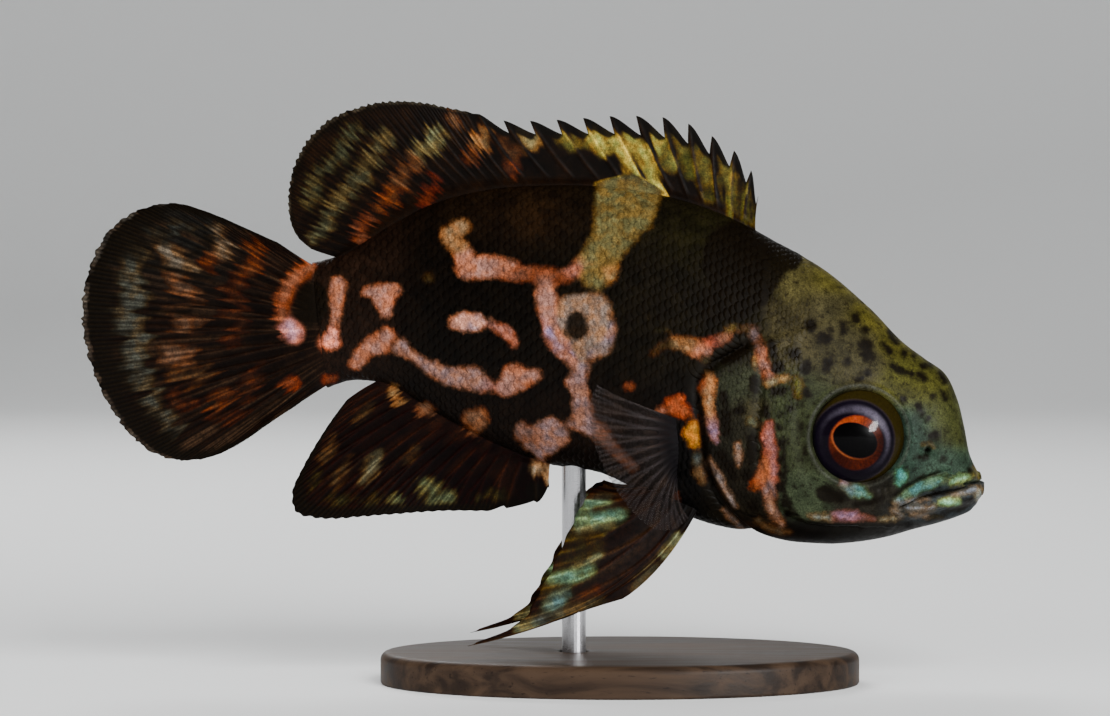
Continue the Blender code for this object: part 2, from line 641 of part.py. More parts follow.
clear_scene()
fish = collection("oscar_fish")
helpers = collection("cutters")
head_piece, torso_piece = make_body(fish, helpers)
make_eyes(fish, helpers, head_piece)
make_nostrils(helpers, head_piece)
make_dorsal_fin(fish)
make_anal_fin(fish)
make_tail_fin(fish)
for fin_side, fin_word in ((-1, "right"), (1, "left")):
    make_pelvic_fin(fin_word, fin_side, fish)
    make_pectoral_fin(fin_word, fin_side, fish)
make_stand(fish, helpers, torso_piece)
paint(fish)
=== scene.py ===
from itertools import product
from math import cos, pi, radians, sin

import bpy
import numpy as np
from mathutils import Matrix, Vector


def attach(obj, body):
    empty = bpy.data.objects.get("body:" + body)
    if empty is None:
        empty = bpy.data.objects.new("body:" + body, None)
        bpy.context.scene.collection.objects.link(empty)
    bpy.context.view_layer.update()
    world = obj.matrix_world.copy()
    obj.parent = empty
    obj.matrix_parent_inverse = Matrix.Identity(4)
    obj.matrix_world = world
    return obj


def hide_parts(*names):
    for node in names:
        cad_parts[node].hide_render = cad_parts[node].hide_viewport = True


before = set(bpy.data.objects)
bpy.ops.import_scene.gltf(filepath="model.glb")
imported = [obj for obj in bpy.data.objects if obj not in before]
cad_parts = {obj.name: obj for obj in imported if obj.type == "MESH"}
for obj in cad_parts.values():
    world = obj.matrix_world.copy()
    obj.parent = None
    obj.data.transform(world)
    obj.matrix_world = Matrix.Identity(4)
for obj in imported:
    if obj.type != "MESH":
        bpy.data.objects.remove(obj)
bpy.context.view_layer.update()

# Body skin.
# The fish is cast in one piece from the lips to the root of the tail fin and painted by hand. Its stations
# are those of the solids: back (x, z), belly (x, z), half width, level of the widest line, fullness above
# and below that line, all in millimetres.
MM = 0.001
BODY_STATIONS = np.array([
    (35.8, 21.3, 36.1, 18.9, 1.5, 0.50, 2.2, 2.2),
    (34.95, 23.2, 35.4, 17.5, 2.7, 0.45, 2.2, 2.2),
    (34.4, 26.0, 33.8, 16.7, 3.6, 0.42, 2.2, 2.2),
    (33.7, 28.7, 31.6, 16.0, 4.3, 0.42, 2.3, 2.2),
    (32.5, 31.1, 29.2, 15.4, 4.9, 0.42, 2.4, 2.2),
    (30.4, 32.65, 26.6, 14.7, 5.4, 0.44, 2.4, 2.2),
    (28.0, 34.5, 23.6, 14.3, 5.9, 0.45, 2.3, 2.2),
    (24.8, 37.8, 20.2, 14.3, 6.4, 0.44, 2.2, 2.2),
    (20.4, 41.5, 16.6, 14.6, 6.8, 0.43, 2.0, 2.2),
    (15.6, 44.2, 12.6, 15.3, 7.0, 0.43, 1.9, 2.1),
    (10.4, 46.9, 8.2, 16.3, 7.0, 0.44, 1.85, 2.0),
    (5.0, 48.7, 3.4, 18.5, 6.8, 0.45, 1.8, 2.0),
    (-1.0, 49.7, -1.8, 21.1, 6.3, 0.46, 1.8, 2.0),
    (-7.0, 49.9, -7.4, 22.1, 5.7, 0.47, 1.8, 1.9),
    (-13.0, 49.5, -13.0, 24.3, 4.9, 0.48, 1.8, 1.9),
    (-18.6, 48.1, -18.2, 27.0, 4.0, 0.49, 1.8, 1.9),
    (-23.6, 45.5, -22.8, 29.8, 3.1, 0.50, 1.9, 1.9),
    (-27.6, 43.0, -26.6, 30.4, 2.4, 0.50, 2.0, 2.0),
    (-30.8, 42.1, -29.3, 29.6, 1.8, 0.50, 2.0, 2.0),
])
LAST_STATION = len(BODY_STATIONS) - 1.0
SNOUT_TIP = np.array((36.2, 0.0, 20.2))
SKIN_ROWS = (10, 14, 18, 22, 24, 24, 26, 26, 26, 26) + (15,) * 8
SKIN_RING = 280
SWAY_START, SWAY_END, SWAY = -8.0, -54.0, 3.0
EYE_CENTRE, EYE_RADIUS = np.array((23.5, 4.8, 25.1)), 4.8

GILL_EDGE = [(13.6, 34.4), (12.5, 34.0), (9.9, 32.5), (8.2, 30.8), (7.9, 28.5), (8.2, 25.2), (8.5, 22.6),
             (9.3, 20.2), (11.0, 17.6), (13.6, 15.4), (17.5, 14.2), (21.0, 13.8)]
CHEEK_EDGE = [(14.2, 31.6), (13.9, 29.0), (13.6, 26.0), (14.0, 22.0), (15.6, 18.2), (18.8, 16.4),
              (23.5, 16.1)]
MOUTH_LINE = [(27.8, 17.9), (29.6, 18.8), (31.9, 19.4), (33.6, 19.6), (35.2, 20.1), (36.2, 20.3),
              (60.0, 20.6)]
NOSTRIL = (30.5, 23.6)
HEAD_START = 5.0
MOUTH_DEPTH, MOUTH_WIDTH, NOSTRIL_DEPTH, NOSTRIL_REACH = 0.65, 0.14, 0.9, 0.42
ORBIT_DEPTH, ORBIT_REACH, ORBIT_RIM, ORBIT_RIM_REACH, ORBIT_RIM_WIDTH = 2.6, 4.85, 0.15, 5.08, 0.28
GILL_STEP, GILL_FADE, GILL_GROOVE, GILL_GROOVE_WIDTH = 0.38, 3.5, 0.50, 0.55
CHEEK_STEP, CHEEK_FADE, CHEEK_GROOVE, CHEEK_GROOVE_WIDTH = 0.22, 2.2, 0.20, 0.45

# Folds of the head as (points, half width, height in mm); grooves are negative. In order: upper lip, lower
# lip, grooves over and under the lips, two folds at the mouth's corner, rim of the nostril, creases below
# the eye and on the cheek.
HEAD_FOLDS = [
    ([(28.2, 18.9), (30.0, 19.8), (32.6, 20.5), (34.9, 21.0)], 0.60, 0.42),
    ([(29.0, 17.4), (31.0, 18.1), (33.4, 18.7), (35.6, 19.2)], 0.58, 0.40),
    ([(27.4, 18.9), (28.3, 19.7), (29.6, 20.5), (31.0, 21.1), (32.6, 21.5)], 0.26, -0.34),
    ([(30.4, 16.9), (32.8, 17.3), (35.2, 17.8)], 0.40, -0.20),
    ([(26.3, 19.9), (26.5, 18.4), (27.3, 17.0), (28.6, 16.2)], 0.35, -0.26),
    ([(25.4, 19.4), (25.7, 17.6), (26.8, 16.0)], 0.5, 0.16),
    ([(31.2, 23.2), (31.1, 23.9), (30.6, 24.2), (30.0, 23.9), (29.9, 23.3)], 0.25, 0.16),
    ([(28.6, 22.0), (27.4, 20.9), (26.0, 20.0)], 0.40, -0.14),
    ([(17.4, 28.6), (18.2, 21.8), (21.4, 18.6)], 0.60, -0.12),
]


def through(table, t):
    """Values at t, counted in rows, on a smooth curve through the rows of a table."""
    table = np.asarray(table, dtype=float)
    last = len(table) - 1
    i = np.clip(np.floor(t).astype(int), 0, last - 1)
    f = (t - i)[..., None]
    a, b = table[np.maximum(i - 1, 0)], table[i]
    c, d = table[i + 1], table[np.minimum(i + 2, last)]
    return 0.5 * (2 * b + (c - a) * f + (2 * a - 5 * b + 4 * c - d) * f ** 2
                  + (3 * b - a - 3 * c + d) * f ** 3)


def smooth_line(points, steps=6):
    points = np.asarray(points, dtype=float)
    return through(points, np.linspace(0, len(points) - 1, (len(points) - 1) * steps + 1))


def sway(x):
    """How far the tail bends away from the fish's right side at x."""
    share = np.clip((SWAY_START - x) / (SWAY_START - SWAY_END), 0, 1.2)
    return SWAY * share ** 2


def body(station, angle):
    """Places on the body: angle is 0 on the left side, 90 degrees on the back, -90 on the belly."""
    row = through(BODY_STATIONS, station)
    back, belly = row[..., 0:2], row[..., 2:4]
    middle = belly + (back - belly) * row[..., 5:6]
    across, upward = np.cos(angle), np.sin(angle)
    fullness = np.where(upward > 0, row[..., 6], row[..., 7])
    side = np.sign(across) * np.abs(across) ** (2 / fullness) * row[..., 4]
    height = (np.abs(upward) ** (2 / fullness))[..., None]
    place = middle + (np.where((upward > 0)[..., None], back, belly) - middle) * height
    return np.stack([place[..., 0], side + sway(place[..., 0]), place[..., 1]], -1)


def body_out(station, angle):
    """The outward direction of the body's surface."""
    step = 0.02
    low, high = np.maximum(station - step, 0), np.minimum(station + step, LAST_STATION)
    along = body(high, angle) - body(low, angle)
    around = body(station, angle + step) - body(station, angle - step)
    out = np.cross(along, around)
    return out / np.linalg.norm(out, axis=-1, keepdims=True)


def line_distance(x, z, points):
    """Distance to a line drawn in side view, and on which hand of it each place lies."""
    points = np.asarray(points, dtype=float)
    best, hand = np.full(x.shape, 1e9), np.ones(x.shape)
    for (ax, az), (bx, bz) in zip(points, points[1:]):
        dx, dz = bx - ax, bz - az
        share = np.clip(((x - ax) * dx + (z - az) * dz) / (dx * dx + dz * dz), 0, 1)
        gap = np.hypot(x - ax - dx * share, z - az - dz * share)
        nearer = gap < best
        best = np.where(nearer, gap, best)
        hand = np.where(nearer, np.sign(dx * (z - az) - dz * (x - ax)), hand)
    return best, hand


def ridge(near, half_width):
    return np.cos(np.clip(near / (1.6 * half_width), 0, 1) * pi / 2) ** 2


def smoothstep(low, high, value):
    t = np.clip((value - low) / (high - low), 0, 1)
    return t * t * (3 - 2 * t)


def eye_distance(x, z):
    return np.hypot(x - EYE_CENTRE[0], z - EYE_CENTRE[2])


def head_relief(x, z):
    """How far the head's folds lift the skin, in millimetres, at places seen from the side."""
    height = np.zeros(x.shape)
    for points, half_width, rise in HEAD_FOLDS:
        height += rise * ridge(line_distance(x, z, smooth_line(points))[0], half_width)
    slit, _ = line_distance(x, z, smooth_line(MOUTH_LINE))
    height -= MOUTH_DEPTH * ridge(slit, MOUTH_WIDTH)
    near, hand = line_distance(x, z, smooth_line(GILL_EDGE))
    cover = hand > 0
    height += np.where(cover, GILL_STEP * smoothstep(-0.02, 0.30, near) * np.exp(-near / GILL_FADE), 0.0)
    height -= np.where(cover, 0.0, GILL_GROOVE * np.exp(-(near / GILL_GROOVE_WIDTH) ** 2))
    near, hand = line_distance(x, z, smooth_line(CHEEK_EDGE))
    cover = hand > 0
    height += np.where(cover, CHEEK_STEP * smoothstep(0, 0.35, near) * np.exp(-near / CHEEK_FADE), 0.0)
    height -= np.where(cover, 0.0, CHEEK_GROOVE * np.exp(-(near / CHEEK_GROOVE_WIDTH) ** 2))
    eye = eye_distance(x, z)
    height += ORBIT_RIM * ridge(np.abs(eye - ORBIT_RIM_REACH), ORBIT_RIM_WIDTH)
    height -= ORBIT_DEPTH * smoothstep(ORBIT_REACH, 3.9, eye)
    nostril = np.hypot(x - NOSTRIL[0], z - NOSTRIL[1])
    return height - NOSTRIL_DEPTH * smoothstep(NOSTRIL_REACH, 0.16, nostril)


def relief_on(places):
    """The same for places in space, and nothing behind the head."""
    return np.where(places[..., 0] > HEAD_START, head_relief(places[..., 0], places[..., 2]), 0.0)


# The markings are drawn flat, as the fish's right side shows from the photographer's place, in
# millimetres at the fish's middle plane. Each is (paint, places with their half widths).
VIEW_DISTANCE, VIEW_X, VIEW_Z, VIEW_SLOPE = 462.5, -6.5, 32.6, 0.0437
PAINTS = {
    "olive cream": (0.175, 0.145, 0.057),
    "gold cream": (0.370, 0.225, 0.095),
    "pink cream": (0.400, 0.205, 0.140),
    "white pink": (0.520, 0.330, 0.290),
    "lavender": (0.330, 0.240, 0.330),
    "ring cream": (0.280, 0.195, 0.135),
    "salmon": (0.350, 0.160, 0.112),
    "tan pink": (0.240, 0.135, 0.095),
    "dull salmon": (0.215, 0.085, 0.043),
    "bright salmon": (0.700, 0.320, 0.235),
    "orange": (0.350, 0.110, 0.032),
    "orange red": (0.400, 0.118, 0.040),
    "pink red": (0.375, 0.165, 0.130),
    "gill orange": (0.430, 0.255, 0.130),
    "yellow": (0.480, 0.240, 0.030),
    "bluish": (0.110, 0.130, 0.120),
    "dim cream": (0.170, 0.120, 0.065),
    "dim pink": (0.280, 0.150, 0.120),
    "tan": (0.240, 0.120, 0.060),
    "faint yellow": (0.060, 0.040, 0.012),
    "mint": (0.120, 0.320, 0.265),
    "mint grey": (0.145, 0.275, 0.220),
    "bright green": (0.380, 0.620, 0.360),
    "lip yellow": (0.260, 0.260, 0.100),
    "jaw grey": (0.320, 0.330, 0.330),
    "pale sage": (0.160, 0.180, 0.120),
    "straw": (0.650, 0.590, 0.150),
    "olive yellow": (0.160, 0.140, 0.030),
    "dim green": (0.070, 0.064, 0.030),
    "dim gold": (0.110, 0.065, 0.022),
    "gold tan": (0.300, 0.180, 0.085),
    "brick": (0.330, 0.105, 0.060),
    "rosy grey": (0.200, 0.135, 0.115),
    "gill tan": (0.310, 0.240, 0.195),
    "bone": (0.340, 0.350, 0.280),
    "pale tan": (0.290, 0.190, 0.140),
    "dusty pink": (0.320, 0.200, 0.163),
    "bright pink": (0.760, 0.400, 0.390),
    "cheek orange": (0.450, 0.195, 0.095),
    "arc orange": (0.340, 0.130, 0.060),
    "nape cream": (0.330, 0.270, 0.150),
    "cheek grey": (0.215, 0.265, 0.225),
    "ember": (0.270, 0.080, 0.030),
    "rose": (0.370, 0.225, 0.270),
    "lip grey": (0.370, 0.370, 0.355),
}
TAIL_ROOT_MARKS = [
    ("pink cream", [(-28.2, 39.9, 0.9), (-28.3, 38.2, 0.8), (-28.4, 36.6, 0.5), (-28.6, 35.7, 0.45)]),
    ("bright salmon", [(-28.7, 35.3, 0.6), (-28.9, 34.3, 1.0)]),
    ("arc orange", [(-31.0, 41.7, 0.7), (-32.6, 40.3, 0.8), (-33.8, 38.0, 0.7), (-33.8, 36.6, 0.7)]),
    ("bright pink", [(-33.1, 35.7, 0.9), (-32.5, 35.2, 1.0)]),
    ("ember", [(-29.2, 30.5, 0.4), (-28.6, 30.6, 0.4)]),
    ("ember", [(-32.8, 30.1, 0.7)]),
]
TAIL_ROOT_SPOT = [(-30.8, 38.8, 1.45), (-30.8, 37.4, 1.50)]
SADDLE_MARK = ("olive cream", [(1.1, 50.2, 3.4), (0.5, 47.6, 3.2), (-0.3, 45.8, 2.5), (-0.9, 44.4, 2.0),
                               (-1.8, 43.0, 2.0), (-2.4, 41.6, 2.0), (-2.6, 40.4, 1.3)])
BODY_MARKS = TAIL_ROOT_MARKS + [
    SADDLE_MARK,
    ("gold tan", [(-15.9, 45.7, 1.0), (-17.0, 44.8, 1.1), (-15.9, 43.5, 1.0)]),
    ("pink cream", [(-15.6, 42.8, 1.1), (-15.3, 41.6, 1.3), (-14.0, 41.7, 1.3), (-12.5, 41.8, 1.2),
                    (-10.8, 41.4, 0.9)]),
    ("dull salmon", [(-12.3, 41.4, 0.85), (-10.4, 41.3, 0.95), (-9.2, 41.0, 0.85), (-7.3, 40.9, 0.9),
                     (-5.6, 40.8, 0.7)]),
    ("salmon", [(-5.2, 41.0, 0.7), (-3.9, 41.7, 0.9)]),
    ("gold cream", [(-3.6, 42.0, 0.9), (-2.4, 42.0, 1.5), (-1.5, 41.4, 1.4)]),
    ("pink cream", [(-7.4, 39.6, 1.1), (-7.3, 38.2, 1.2), (-6.8, 36.4, 1.1), (-6.3, 34.6, 1.1),
                    (-5.3, 33.2, 1.0), (-4.3, 32.2, 0.9)]),
    ("ring cream", [(-4.3, 36.6, 2.6), (-3.0, 37.2, 2.2), (-2.2, 35.6, 1.8), (-2.4, 34.2, 1.7),
                    (-4.0, 33.4, 1.5), (-4.0, 32.2, 1.0)]),
    ("lavender", [(-7.3, 36.4, 0.5), (-6.9, 35.2, 0.9), (-6.0, 33.9, 0.8), (-4.6, 32.9, 0.8),
                  (-3.9, 31.9, 0.6)]),
    ("lavender", [(-1.0, 35.8, 0.5), (-1.4, 34.8, 0.8), (-2.0, 34.0, 0.9), (-3.1, 33.2, 0.8)]),
    ("dusty pink", [(-4.0, 31.6, 0.9), (-4.3, 30.1, 0.95), (-3.9, 28.8, 1.0), (-3.7, 27.4, 1.1),
                    (-3.7, 26.2, 1.2), (-2.3, 25.3, 0.9)]),
    ("pink cream", [(-4.3, 30.3, 0.8), (-5.2, 30.3, 0.4)]),
    ("tan pink", [(-1.9, 25.0, 0.9), (-1.2, 24.2, 0.8), (-0.2, 23.0, 0.65), (0.8, 22.1, 0.6),
                  (1.4, 21.6, 0.5)]),
    ("tan pink", [(-4.6, 26.0, 0.4), (-5.4, 25.7, 0.4)]),
    ("tan pink", [(-9.8, 25.4, 0.9), (-8.9, 24.3, 1.1)]),
    ("dusty pink", [(-7.6, 25.2, 1.2), (-7.0, 25.3, 1.4), (-6.3, 24.8, 1.3), (-7.7, 23.6, 1.1),
                    (-7.9, 22.7, 0.6)]),
    ("white pink", [(-16.3, 36.2, 0.8), (-15.7, 36.2, 1.0), (-14.3, 36.2, 0.9), (-13.3, 36.1, 0.4)]),
    ("salmon", [(-13.3, 36.0, 0.35), (-12.5, 35.8, 0.5), (-11.3, 35.1, 0.7), (-10.6, 34.2, 0.5)]),
    ("pink cream", [(-26.4, 32.1, 0.8), (-25.4, 33.4, 0.9), (-23.9, 34.1, 1.2), (-23.1, 34.8, 0.8),
                    (-23.3, 35.5, 0.35)]),
    ("dusty pink", [(-21.9, 33.7, 0.9), (-20.9, 32.9, 0.5), (-19.8, 32.2, 0.6), (-18.6, 31.5, 0.9),
                    (-17.2, 30.8, 0.95), (-15.7, 30.6, 1.2), (-14.8, 30.6, 1.3), (-13.6, 29.9, 0.8)]),
    ("salmon", [(-13.6, 29.9, 0.8), (-12.6, 29.7, 0.4), (-11.5, 29.7, 0.8)]),
    ("pink cream", [(-11.5, 29.7, 1.0), (-10.5, 30.6, 1.5), (-9.4, 30.7, 1.0), (-8.4, 30.9, 0.6)]),
    ("pink cream", [(-25.3, 39.2, 0.6), (-24.0, 39.2, 0.9), (-22.6, 39.3, 0.8)]),
    ("bright pink", [(-23.5, 38.4, 0.7)]),
    ("pink cream", [(-23.6, 38.3, 1.2), (-23.4, 37.1, 0.6)]),
    ("faint yellow", [(-19.2, 40.6, 0.6)]),
    ("dim gold", [(3.3, 33.1, 0.35), (4.3, 33.8, 0.50), (5.4, 34.0, 0.55)]),
    ("gold tan", [(5.6, 34.1, 0.65), (6.6, 34.0, 0.85), (7.3, 33.8, 0.85)]),
    ("pink cream", [(7.7, 33.5, 0.85), (8.4, 33.6, 0.80)]),
    ("brick", [(8.8, 34.0, 0.60), (9.5, 34.3, 0.60)]),
    ("tan pink", [(10.0, 34.5, 0.60), (10.8, 34.8, 0.50)]),
    ("olive cream", [(10.8, 35.4, 0.40), (11.4, 35.8, 0.32)]),
    ("dim gold", [(12.0, 35.5, 0.40), (12.8, 35.4, 0.45)]),
    ("rosy grey", [(13.4, 35.2, 0.60), (13.7, 34.3, 0.55)]),
    ("pink cream", [(14.2, 33.2, 0.60), (14.4, 32.0, 0.66), (14.8, 30.9, 0.66)]),
    ("nape cream", [(13.4, 32.5, 0.25), (13.5, 31.8, 0.25)]),
    ("nape cream", [(14.9, 30.1, 0.50), (15.7, 30.4, 0.48), (16.6, 30.6, 0.35)]),
    ("dim green", [(8.5, 32.4, 0.40)]),
    ("dim green", [(2.7, 36.6, 0.20)]),
    ("dim green", [(3.7, 35.4, 0.25), (4.8, 35.5, 0.20)]),
    ("olive yellow", [(17.7, 30.2, 0.6), (17.9, 29.0, 0.5)]),
    ("dull salmon", [(0.9, 29.7, 0.50)]),
    ("orange red", [(5.9, 28.5, 0.6), (5.2, 27.8, 0.9), (6.4, 27.3, 0.8)]),
    ("pink cream", [(4.2, 27.3, 0.5)]),
    ("yellow", [(7.4, 26.0, 0.5), (7.1, 25.0, 0.9), (7.4, 24.3, 0.8)]),
    ("bluish", [(7.7, 22.6, 0.5), (7.7, 22.1, 0.5)]),
    ("dim cream", [(7.9, 21.1, 0.7), (8.3, 20.2, 0.4)]),
    ("gill orange", [(9.0, 30.5, 0.70), (8.9, 29.4, 0.60)]),
    ("orange red", [(8.4, 30.2, 0.40), (8.2, 29.6, 0.40)]),
    ("gill orange", [(8.8, 29.4, 0.65), (8.8, 28.0, 0.60), (9.1, 26.4, 0.60)]),
    ("lavender", [(9.1, 26.4, 0.6), (9.4, 25.1, 0.6), (9.5, 24.4, 0.4)]),
    ("gill tan", [(11.8, 23.9, 0.40), (11.9, 22.8, 0.52), (11.9, 21.9, 0.3)]),
    ("gill tan", [(8.9, 22.3, 0.35), (9.6, 21.2, 0.45), (10.2, 19.9, 0.50), (10.9, 18.7, 0.45),
                  (11.5, 17.7, 0.35)]),
    ("gill tan", [(10.5, 17.3, 0.30), (11.5, 16.3, 0.46), (12.6, 15.5, 0.44), (13.2, 15.0, 0.28)]),
    ("dim cream", [(13.8, 16.4, 0.3), (14.7, 15.6, 0.4), (15.7, 15.2, 0.4), (16.9, 15.1, 0.3)]),
    ("pink red", [(14.8, 25.8, 0.60), (14.8, 24.6, 0.80), (15.1, 23.2, 0.75), (15.3, 21.6, 0.65),
                  (15.3, 20.2, 0.60)]),
    ("cheek orange", [(14.7, 22.3, 0.60), (14.5, 21.2, 0.80), (14.4, 20.4, 0.80)]),
    ("orange", [(14.2, 20.6, 0.60), (13.7, 20.0, 0.75), (13.4, 19.6, 0.45)]),
    ("dusty pink", [(15.0, 19.8, 0.85), (15.0, 18.8, 0.72)]),
    ("pale tan", [(15.0, 18.6, 0.60), (15.2, 17.4, 0.62), (15.7, 16.5, 0.55), (16.3, 15.9, 0.40)]),
    ("bone", [(18.9, 16.8, 0.25), (20.0, 16.6, 0.32), (21.0, 16.6, 0.30)]),
    ("rose", [(21.6, 16.8, 0.50), (22.6, 16.8, 0.60), (23.8, 16.8, 0.50)]),
    ("dim pink", [(24.6, 16.7, 0.30), (25.4, 16.5, 0.25)]),
    ("bone", [(26.2, 16.4, 0.25), (27.4, 16.5, 0.28)]),
    ("dim pink", [(5.6, 18.9, 0.3), (5.8, 17.6, 0.3)]),
    ("gold cream", [(-22.7, 29.5, 0.5), (-22.2, 28.4, 0.4)]),
    ("tan", [(-19.3, 27.5, 0.8)]),
    ("tan", [(-15.0, 26.5, 0.9), (-14.1, 26.6, 1.1), (-14.4, 25.8, 0.8)]),
    ("mint", [(28.2, 20.9, 0.75), (28.1, 20.2, 0.65)]),
    ("pale sage", [(13.0, 26.3, 0.5), (13.5, 26.1, 0.4)]),
    ("cheek grey", [(22.4, 19.8, 0.40), (23.3, 19.4, 0.75)]),
    ("mint grey", [(23.6, 19.3, 0.70), (24.2, 19.1, 0.70), (24.9, 18.8, 0.40)]),
    ("lavender", [(22.3, 20.1, 0.25), (22.8, 19.9, 0.25)]),
    ("jaw grey", [(28.0, 18.4, 0.30), (27.6, 17.9, 0.25)]),
    ("mint grey", [(27.9, 18.4, 0.30), (28.8, 19.00, 0.55), (29.9, 19.60, 0.66), (31.0, 20.10, 0.70),
                   (32.2, 20.5, 0.55)]),
    ("bright green", [(33.4, 20.20, 0.36), (34.1, 20.45, 0.48), (34.7, 20.65, 0.34)]),
    ("lip yellow", [(35.6, 21.6, 0.35), (35.7, 20.9, 0.35)]),
    ("lip grey", [(33.2, 18.95, 0.25), (34.4, 19.15, 0.28), (35.5, 19.40, 0.45)]),
    ("bone", [(36.0, 19.4, 0.40), (35.9, 18.6, 0.42)]),
    ("bright green", [(32.2, 18.15, 0.34), (33.0, 18.15, 0.52), (33.8, 18.10, 0.46)]),
    ("jaw grey", [(28.0, 18.1, 0.22), (29.4, 18.35, 0.26), (30.8, 18.55, 0.20)]),
    ("jaw grey", [(28.3, 17.6, 0.22), (29.8, 17.55, 0.28), (31.4, 17.60, 0.22)]),
    ("jaw grey", [(29.2, 16.9, 0.20), (30.8, 16.90, 0.24)]),
    ("jaw grey", [(27.4, 17.3, 0.30), (28.2, 16.8, 0.30)]),
    ("dim green", [(31.2, 16.7, 0.20), (32.2, 16.7, 0.22)]),
    ("pale sage", [(30.2, 23.9, 0.18), (30.9, 24.1, 0.20), (31.5, 23.7, 0.18)]),
]
# Dark marks: drawn lines with their half widths, and round freckles. A few lines are painted shade: along the
# gill slit, in the creases over and under the lips and along the mouth.
DARK_MARKS_AND_CREASE_SHADE = [
    [(12.0, 42.5, 3.8), (14.5, 42.4, 2.4), (12.9, 39.9, 2.5), (11.6, 38.2, 1.9), (9.4, 37.9, 1.7)],
    [(14.5, 42.6, 2.2), (16.8, 42.7, 1.4)], TAIL_ROOT_SPOT,
    # Painted shade along the gill slit, under the gill cover's edge.
    [(7.6, 29.4, 0.15), (8.3, 25.8, 0.20), (8.6, 22.4, 0.20), (9.6, 20.0, 0.25), (11.0, 17.6, 0.28),
     (13.2, 15.2, 0.32), (16.5, 13.9, 0.45)],
    [(-6.3, 39.4, 0.27), (-2.7, 39.4, 0.27)], [(-4.4, 36.2, 1.00), (-4.35, 35.5, 1.10)],
    [(10.6, 32.7, 0.75), (11.6, 33.2, 0.75), (12.6, 33.7, 0.60), (13.0, 34.0, 0.35)],
    [(16.4, 24.4, 0.15), (16.5, 21.5, 0.25), (16.3, 19.5, 0.28), (16.9, 17.7, 0.28), (18.2, 16.3, 0.20)],
    [(23.6, 17.9, 0.18), (25.0, 18.1, 0.25), (26.2, 18.6, 0.20)],
    # Painted shade in the creases under the lower lip, over the upper lip and along the mouth.
    [(34.6, 18.15, 0.30), (35.2, 18.30, 0.30)],
    [(32.8, 17.30, 0.22), (33.8, 17.45, 0.28), (34.8, 17.90, 0.22)],
    [(27.5, 18.9, 0.14), (28.3, 19.6, 0.16), (29.5, 20.35, 0.15), (30.9, 20.85, 0.14), (32.0, 21.2, 0.10)],
    [(30.6, 18.75, 0.12), (31.6, 19.0, 0.20), (32.8, 19.1, 0.20), (33.8, 19.4, 0.12)],
    [(13.4, 30.5, 0.5), (13.4, 29.5, 0.5)], [(11.7, 27.3, 0.5), (12.1, 27.3, 0.5)],
    [(10.4, 29.0, 0.4), (10.4, 28.0, 0.4)], [(10.6, 27.0, 0.5), (10.6, 25.2, 0.5)],
    [(13.2, 24.5, 0.6), (13.2, 22.9, 0.6)], [(10.0, 22.9, 0.5), (11.0, 21.6, 0.6), (11.4, 20.6, 0.4)],
    [(15.5, 29.3, 0.5), (16.3, 29.3, 0.5)], [(14.6, 27.6, 0.4), (14.6, 26.8, 0.4)],
    [(15.3, 34.1, 0.4), (15.3, 32.9, 0.4)], [(18.1, 26.1, 0.25), (18.1, 25.6, 0.25)],
    [(18.5, 23.6, 0.25), (18.5, 23.1, 0.25)], [(20.6, 19.0, 0.9), (22.0, 18.6, 0.6)],
    [(20.2, 34.6, 0.6), (20.6, 34.6, 0.6)], [(22.3, 36.0, 0.4), (22.3, 35.2, 0.4)],
    [(23.6, 36.8, 0.4), (23.6, 36.4, 0.4)], [(24.5, 33.9, 0.7), (24.8, 32.8, 0.6)],
    [(26.4, 33.9, 0.35), (27.0, 33.3, 0.4)], [(27.0, 35.1, 0.3), (27.6, 34.1, 0.3)],
    [(27.3, 31.7, 0.35), (28.1, 31.4, 0.4), (29.3, 30.9, 0.25)], [(29.9, 30.9, 0.4), (30.5, 30.6, 0.35)],
    [(32.0, 31.1, 0.3), (32.4, 30.3, 0.35)], [(32.3, 29.1, 0.25), (32.6, 28.5, 0.28)],
    [(29.9, 27.8, 0.3), (30.2, 27.1, 0.28)], [(31.0, 24.8, 0.4), (31.6, 24.9, 0.4)],
    [(30.0, 22.7, 0.3), (30.6, 22.7, 0.3)], [(23.8, 30.5, 0.3), (24.2, 30.6, 0.3)],
]
FRECKLES = [
    (2.4, 37.5, 0.3), (8.9, 31.6, 0.4), (35.0, 21.35, 0.28), (8.1, 30.7, 0.3), (15.9, 25.6, 0.4),
    (16.3, 24.2, 0.5), (16.2, 22.4, 0.5), (16.2, 20.9, 0.4), (16.0, 19.7, 0.5), (16.6, 18.1, 0.6),
    (16.9, 17.1, 0.5), (13.1, 22.4, 0.6), (12.7, 20.9, 0.6), (13.4, 17.9, 0.5), (17.1, 27.6, 0.4),
    (15.8, 31.7, 0.65), (17.5, 33.0, 0.6), (18.6, 31.6, 0.7), (18.7, 29.1, 0.5), (20.0, 21.4, 0.4),
    (19.0, 35.8, 0.7), (21.0, 35.4, 0.4), (24.5, 35.4, 0.4), (28.4, 33.1, 0.4), (29.3, 32.8, 0.3),
    (30.4, 31.8, 0.4), (31.1, 32.1, 0.3), (31.3, 28.8, 0.3), (30.9, 26.5, 0.25), (28.3, 28.5, 0.3),
    (30.7, 23.35, 0.26), (32.3, 22.5, 0.4), (20.9, 32.2, 0.6), (20.6, 31.6, 0.5), (22.7, 32.2, 0.5),
    (24.7, 31.1, 0.4),
]
